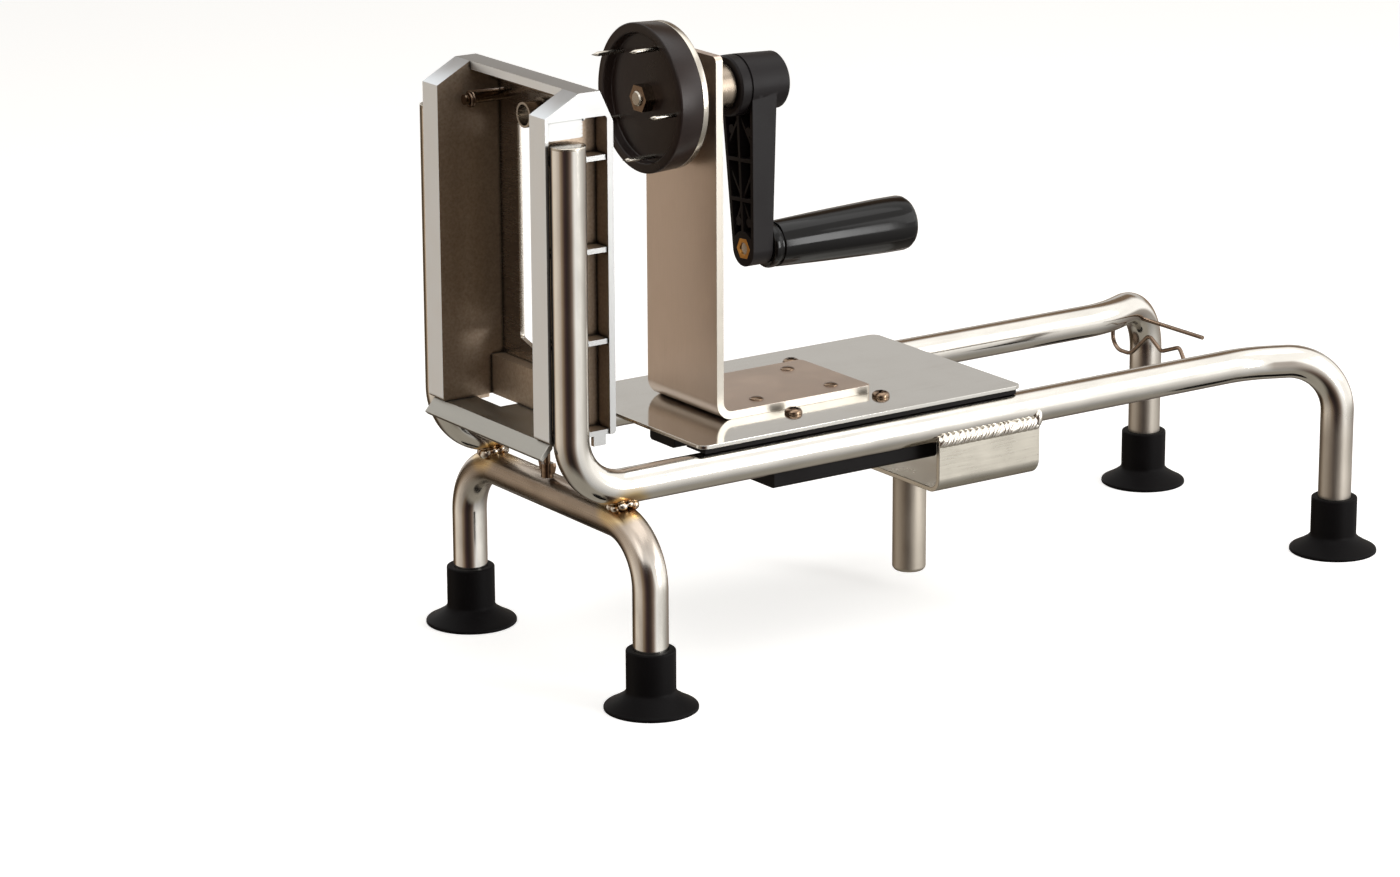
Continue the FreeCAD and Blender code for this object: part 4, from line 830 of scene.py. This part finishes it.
# bright zinc plate on small fasteners: a slightly warm, soft mirror
fastener_zinc = mottled("zinc_plated_fastener", "#4a3b30", "#8f7a66", 700.0, 3.0, (0.12, 0.30),
                        metallic=1.0)
HEAD_RADIUS = 3.6 * MM
HEAD_HEIGHT = 2.4 * MM
RECESS_DEPTH = 1.5 * MM
RECESS_WIDTH = 1.0 * MM
RECESS_SPAN = HEAD_RADIUS * 1.25


def settled_mesh(piece):
    """The mesh of an object with its modifiers applied."""
    shown = piece.evaluated_get(bpy.context.evaluated_depsgraph_get())
    return bpy.data.meshes.new_from_object(shown)


def pan_screw(name, seat_point, direction, twist):
    """Pan head with a cross recess, on its seat."""
    outline = [
        (0, 0), (0, HEAD_RADIUS, 0.15 * MM), (HEAD_HEIGHT * 0.45, HEAD_RADIUS, 0.5 * MM),
        (HEAD_HEIGHT * 0.9, HEAD_RADIUS * 0.72, 0.8 * MM), (HEAD_HEIGHT, 0),
    ]
    screw = turned(name, outline, seat_point, direction, 40)
    driver = bmesh.new()
    for quarter in (0, math.pi / 2):
        arm = bmesh.ops.create_cube(driver, size=1.0)["verts"]
        bmesh.ops.scale(driver, vec=(RECESS_SPAN, RECESS_WIDTH, 2 * RECESS_DEPTH), verts=arm)
        bmesh.ops.transform(driver, matrix=Matrix.Rotation(quarter + twist, 4, "Z"), verts=arm)
    top = Vector(seat_point) + Vector(direction) * HEAD_HEIGHT
    bmesh.ops.transform(driver, matrix=facing(direction, top), verts=driver.verts)
    cutter = finish_mesh(name + "_cutter", driver)
    cut = screw.modifiers.new("recess", "BOOLEAN")
    cut.object = cutter
    cut.solver = "EXACT"
    cut.use_self = True
    settled = settled_mesh(screw)
    screw.modifiers.clear()
    screw.data = settled
    bpy.data.objects.remove(cutter)
    screw.data.set_sharp_from_angle(angle=math.radians(40))
    return screw


screws_low, screws_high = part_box("knife_screws")
knife_screw_y = (screws_low.y + screws_high.y) / 2
for name, z in (("lower_knife_screw", screws_low.z + HEAD_RADIUS),
                ("upper_knife_screw", screws_high.z - HEAD_RADIUS)):
    screw = pan_screw(name, (screws_low.x + HEAD_HEIGHT, knife_screw_y, z), (-1, 0, 0), 0.4)
    place_piece(screw, "frame", "fastener_steel", fastener_zinc, "knife_screws")


# ---------------------------------------------------------------- latch spring
# A close-wound torsion spring on a short pin under the hood, wound from 1.1 mm spring wire
# with two long arms.
WIRE_RADIUS = 0.55 * MM
SPRING_TURNS = 3
SPRING_ARM = 23.0 * MM
SPRING_ARM_RISE = 5.0 * MM
COIL_CLEARANCE = 0.25 * MM
COIL_STEPS = 28                 # to a turn

# drawn spring wire: dark bright steel in faint tones
wire_steel = mottled("drawn_spring_wire", "#5c4c40", "#8d7a6a", 300.0, 3.0, (0.18, 0.34),
                     metallic=1.0)


def round_wire(name, points, radius):
    """A wire through smooth points, as a mesh tube."""
    line = bpy.data.curves.new(name, "CURVE")
    line.dimensions = "3D"
    line.bevel_depth = radius
    line.bevel_resolution = 5
    line.use_fill_caps = True
    run = line.splines.new("POLY")
    run.points.add(len(points) - 1)
    for point, place in zip(run.points, points):
        point.co = (*place, 1.0)
    holder = bpy.data.objects.new(name + "_line", line)
    scene.collection.objects.link(holder)
    mesh = settled_mesh(holder)
    bpy.data.objects.remove(holder)
    mesh.name = name
    mesh.shade_smooth()
    return link_object(name, mesh)


pin_low, pin_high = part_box("spring_pin")
pin_middle = (pin_low + pin_high) / 2
coil_radius = (pin_high.y - pin_low.y) / 2 + COIL_CLEARANCE + WIRE_RADIUS
coil_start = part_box("latch_spring")[0].x + WIRE_RADIUS
arm_reach = Vector((0, -SPRING_ARM, SPRING_ARM_RISE))
coil = [Vector((coil_start, pin_middle.y, pin_middle.z + coil_radius)) + arm_reach]
for i in range((SPRING_TURNS - 1) * COIL_STEPS + 1):
    angle = math.pi / 2 + math.tau * i / COIL_STEPS
    coil.append(Vector((coil_start + 2 * WIRE_RADIUS * i / COIL_STEPS,
                        pin_middle.y + coil_radius * math.cos(angle),
                        pin_middle.z + coil_radius * math.sin(angle))))
coil.append(coil[-1] + arm_reach)
spring = round_wire("wound_spring", coil, WIRE_RADIUS)
place_piece(spring, "frame", "spring_wire", wire_steel, "latch_spring")


# ---------------------------------------------------------------- carriage fittings
# Moulded guides under the plate, their four cross-recessed screws, and the four domed rivets
# and the bush of the upright.
def moulded_black(name, dark, pale, rough, grain_scale, shine):
    """Injection moulded black plastic: a fine spark-eroded grain with soft worn patches."""
    return mottled(name, dark, pale, 60.0, 4.0, rough, shine=shine, span=(0.3, 0.7),
                   skin=(grain_scale, 0.2, 0.04 * MM))


def corner_points(node, inset):
    """The four points this far inside the corners of a node's box, as seen from above."""
    low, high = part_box(node)
    return [(x, y) for x in (low.x + inset, high.x - inset)
            for y in (low.y + inset, high.y - inset)]


guide_plastic = moulded_black("glass_filled_nylon", "#0b0909", "#141111", (0.42, 0.60), 1400.0,
                              0.1)
for name in ("near_rail_guide", "far_rail_guide"):
    guide = eased(name + "_moulded", name, 0.35 * MM)
    place_piece(guide, "carriage", "guide_plastic", guide_plastic, name)

head_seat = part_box("carriage_plate")[1].z
for i, (x, y) in enumerate(corner_points("guide_screws", HEAD_RADIUS)):
    screw = pan_screw("guide_screw_%d" % (i + 1), (x, y, head_seat), (0, 0, 1), 0.3 + i)
    place_piece(screw, "carriage", "fastener_steel", fastener_zinc, "guide_screws")

RIVET_RADIUS = 3.0 * MM
RIVET_HEIGHT = 1.1 * MM
foot_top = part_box("upright_rivets")[1].z - RIVET_HEIGHT
rivet_outline = [
    (0, 0), (0, RIVET_RADIUS, 0.1 * MM), (0.35 * MM, RIVET_RADIUS * 0.97, 0.2 * MM),
    (0.9 * MM, RIVET_RADIUS * 0.6, 0.6 * MM), (RIVET_HEIGHT, 0),
]
for i, (x, y) in enumerate(corner_points("upright_rivets", RIVET_RADIUS)):
    rivet = turned("rivet_%d" % (i + 1), rivet_outline, (x, y, foot_top), (0, 0, 1), 40)
    place_piece(rivet, "carriage", "fastener_steel", fastener_zinc, "upright_rivets")

bush_low, bush_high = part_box("shaft_bush")
AXIS_Z = (bush_low.z + bush_high.z) / 2
CRANK_AXIS = ((0, 0, AXIS_Z), (1, 0, 0))
BUSH_RADIUS = 9.5 * MM
BUSH_FLANGE = (bush_high.z - bush_low.z) / 2
SHAFT_RADIUS = 5.0 * MM
flange_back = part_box("upright")[0].x
flange_front = flange_back - 2.5 * MM
bush_outline = [
    (bush_low.x, SHAFT_RADIUS), (bush_low.x, BUSH_RADIUS, 0.6 * MM), (flange_front, BUSH_RADIUS),
    (flange_front, BUSH_FLANGE, 0.4 * MM), (flange_back, BUSH_FLANGE), (flange_back, BUSH_RADIUS),
    (bush_high.x, BUSH_RADIUS, 0.6 * MM), (bush_high.x, SHAFT_RADIUS),
]
bush = turned("turned_bush", bush_outline, *CRANK_AXIS)
place_piece(bush, "carriage", "turned_bar", bush_steel, "shaft_bush")
for steel, nodes in ((turned_steel, ("crank_shaft", "grip_axle")),
                     (fastener_zinc, ("holder_nut", "crank_screw", "plate_screws", "wing_bolt",
                                      "spring_pin"))):
    for node in nodes:
        cad_nodes[node].data.materials.clear()
        cad_nodes[node].data.materials.append(steel)


# ---------------------------------------------------------------- food holder
# A black moulded cup with a drafted wall, backed by a turned disc and armed with five steel
# prongs that bite the fruit.
cup_low, cup_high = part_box("holder_cup")
CUP_RADIUS = (cup_high.y - cup_low.y) / 2
CUP_WALL = 4.0 * MM
CUP_DEPTH = 3.9 * MM
CUP_DRAFT = 0.5 * MM
THREAD_RADIUS = 3.0 * MM
floor_x = cup_low.x + CUP_DEPTH
cup_outline = [
    (cup_high.x, THREAD_RADIUS), (cup_high.x, CUP_RADIUS - CUP_DRAFT, 0.4 * MM),
    (cup_low.x, CUP_RADIUS, 0.7 * MM), (cup_low.x, CUP_RADIUS - CUP_WALL, 0.6 * MM),
    (floor_x, CUP_RADIUS - CUP_WALL - CUP_DRAFT, 0.5 * MM), (floor_x, THREAD_RADIUS),
]
cup_black = moulded_black("moulded_cup_black", "#150d0b", "#2a1e1a", (0.26, 0.40), 900.0, 0.2)
cup = turned("moulded_cup", cup_outline, *CRANK_AXIS, 128)
place_piece(cup, "crank", "black_moulding", cup_black, "holder_cup")

disc_low, disc_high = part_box("backing_disc")
disc_radius = (disc_high.y - disc_low.y) / 2
disc_outline = [
    (disc_low.x, THREAD_RADIUS), (disc_low.x, disc_radius, 0.2 * MM),
    (disc_high.x, disc_radius, 0.4 * MM), (disc_high.x, THREAD_RADIUS),
]
disc = turned("turned_disc", disc_outline, *CRANK_AXIS, 128)
place_piece(disc, "crank", "turned_bar", turned_steel, "backing_disc")

PRONG_RADIUS = 0.9 * MM
PRONG_POINT = 3.0 * MM
PRONG_CIRCLE = 23.0 * MM
PRONG_FIRST = 115.0             # degrees
PRONG_COUNT = 5
prongs_low, prongs_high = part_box("holder_prongs")
prong_outline = [
    (prongs_high.x, PRONG_RADIUS), (prongs_low.x + PRONG_POINT, PRONG_RADIUS, 0.4 * MM),
    (prongs_low.x, 0),
]
for i in range(PRONG_COUNT):
    angle = math.radians(PRONG_FIRST + i * 360 / PRONG_COUNT)
    place = (0, PRONG_CIRCLE * math.cos(angle), AXIS_Z + PRONG_CIRCLE * math.sin(angle))
    prong = turned("prong_%d" % (i + 1), prong_outline, place, (1, 0, 0), 24)
    place_piece(prong, "crank", "turned_bar", turned_steel, "holder_prongs")


# ---------------------------------------------------------------- crank
# A ribbed black moulding with its hub on the shaft, a brass insert at its end, and a
# revolving grip on a shoulder screw.
arm_black = moulded_black("moulded_arm_black", "#0e0b0b", "#1a1617", (0.38, 0.52), 1300.0, 0.14)
arm = eased("moulded_arm", "crank_arm", 0.3 * MM, 2, 30.0)
place_piece(arm, "crank", "black_moulding", arm_black, "crank_arm")

# turned brass, a little tarnished
brass = mottled("turned_brass", "#b07a34", "#d9a860", 500.0, 3.0, 0.32, metallic=1.0)
insert = eased("brass_insert", "arm_insert", 0.2 * MM)
place_piece(insert, "crank", "brass_insert", brass, "arm_insert")

grip_low, grip_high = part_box("crank_grip")
grip_middle = (grip_low + grip_high) / 2
GRIP_AXIS = ((grip_low.x, grip_middle.y, grip_middle.z), (1, 0, 0))
GRIP_LENGTH = grip_high.x - grip_low.x
GRIP_START = 9.2 * MM
GRIP_END = (grip_high.z - grip_low.z) / 2
GRIP_BORE = 3.6 * MM
COLLAR_END = 3.4 * MM
GROOVE_END = 4.8 * MM
GROOVE_RADIUS = GRIP_START - 0.8 * MM
PLUG_RADIUS = 5.5 * MM
PLUG_GAP = 0.1 * MM
PLUG_SEAT = GRIP_LENGTH - 2.4 * MM
grip_outline = [
    (0, GRIP_BORE), (0, GRIP_START, 1.3 * MM), (COLLAR_END, GRIP_START, 0.5 * MM),
    (COLLAR_END, GROOVE_RADIUS, 0.2 * MM), (GROOVE_END, GROOVE_RADIUS, 0.2 * MM),
    (GROOVE_END, GRIP_START, 0.4 * MM), (GRIP_LENGTH * 0.4, GRIP_START + 1.05 * MM, 5 * MM),
    (GRIP_LENGTH - 12 * MM, GRIP_END, 4 * MM), (GRIP_LENGTH, GRIP_END - 0.05 * MM, 3.5 * MM),
    (GRIP_LENGTH, PLUG_RADIUS, 0.2 * MM), (PLUG_SEAT, PLUG_RADIUS),
]
grip_black = moulded_black("gloss_grip_black", "#060404", "#0c0a09", (0.09, 0.16), 500.0, 0.17)
grip = turned("moulded_grip", grip_outline, *GRIP_AXIS)
place_piece(grip, "grip", "grip_plastic", grip_black, "crank_grip")
plug_outline = [
    (PLUG_SEAT, 0), (PLUG_SEAT, PLUG_RADIUS - PLUG_GAP),
    (GRIP_LENGTH, PLUG_RADIUS - PLUG_GAP, 0.3 * MM), (GRIP_LENGTH, 0),
]
plug = turned("grip_plug", plug_outline, *GRIP_AXIS, 64)
place_piece(plug, "grip", "grip_plastic", grip_black, "grip_cap")


# ---------------------------------------------------------------- rail clip
# A hairpin of spring wire through the far rail that stops the carriage: a straight leg
# through the tube, a loop outside it and a waved leg below.
CLIP_RADIUS = 0.9 * MM
LOOP_RADIUS = 6.4 * MM
LOOP_DROP = 17.6 * MM
# the waved leg's corners from the loop's outer side, in mm, and the bend at each corner
WAVES = ((-12.4, -17.6), (-24.9, -6.6), (-33.4, -12.0), (-45.4, -7.6), (-49.9, -14.2))
CLIP_BENDS = (LOOP_RADIUS, LOOP_RADIUS, 7 * MM, 3 * MM, 3 * MM, 2.2 * MM)
clip_low, clip_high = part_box("rail_clip")
clip_x = (clip_low.x + clip_high.x) / 2
leg_z = clip_high.z - CLIP_RADIUS
loop_y = clip_high.y - CLIP_RADIUS
clip_route = [(clip_x, clip_low.y, leg_z), (clip_x, loop_y, leg_z),
              (clip_x, loop_y, leg_z - LOOP_DROP)]
clip_route += [(clip_x, loop_y + y * MM, leg_z + z * MM) for y, z in WAVES]
clip = swept_bar("wire_clip", clip_route, CLIP_BENDS, CLIP_RADIUS, 20, 6.0)
place_piece(clip, "clip", "spring_wire", wire_steel, "rail_clip")
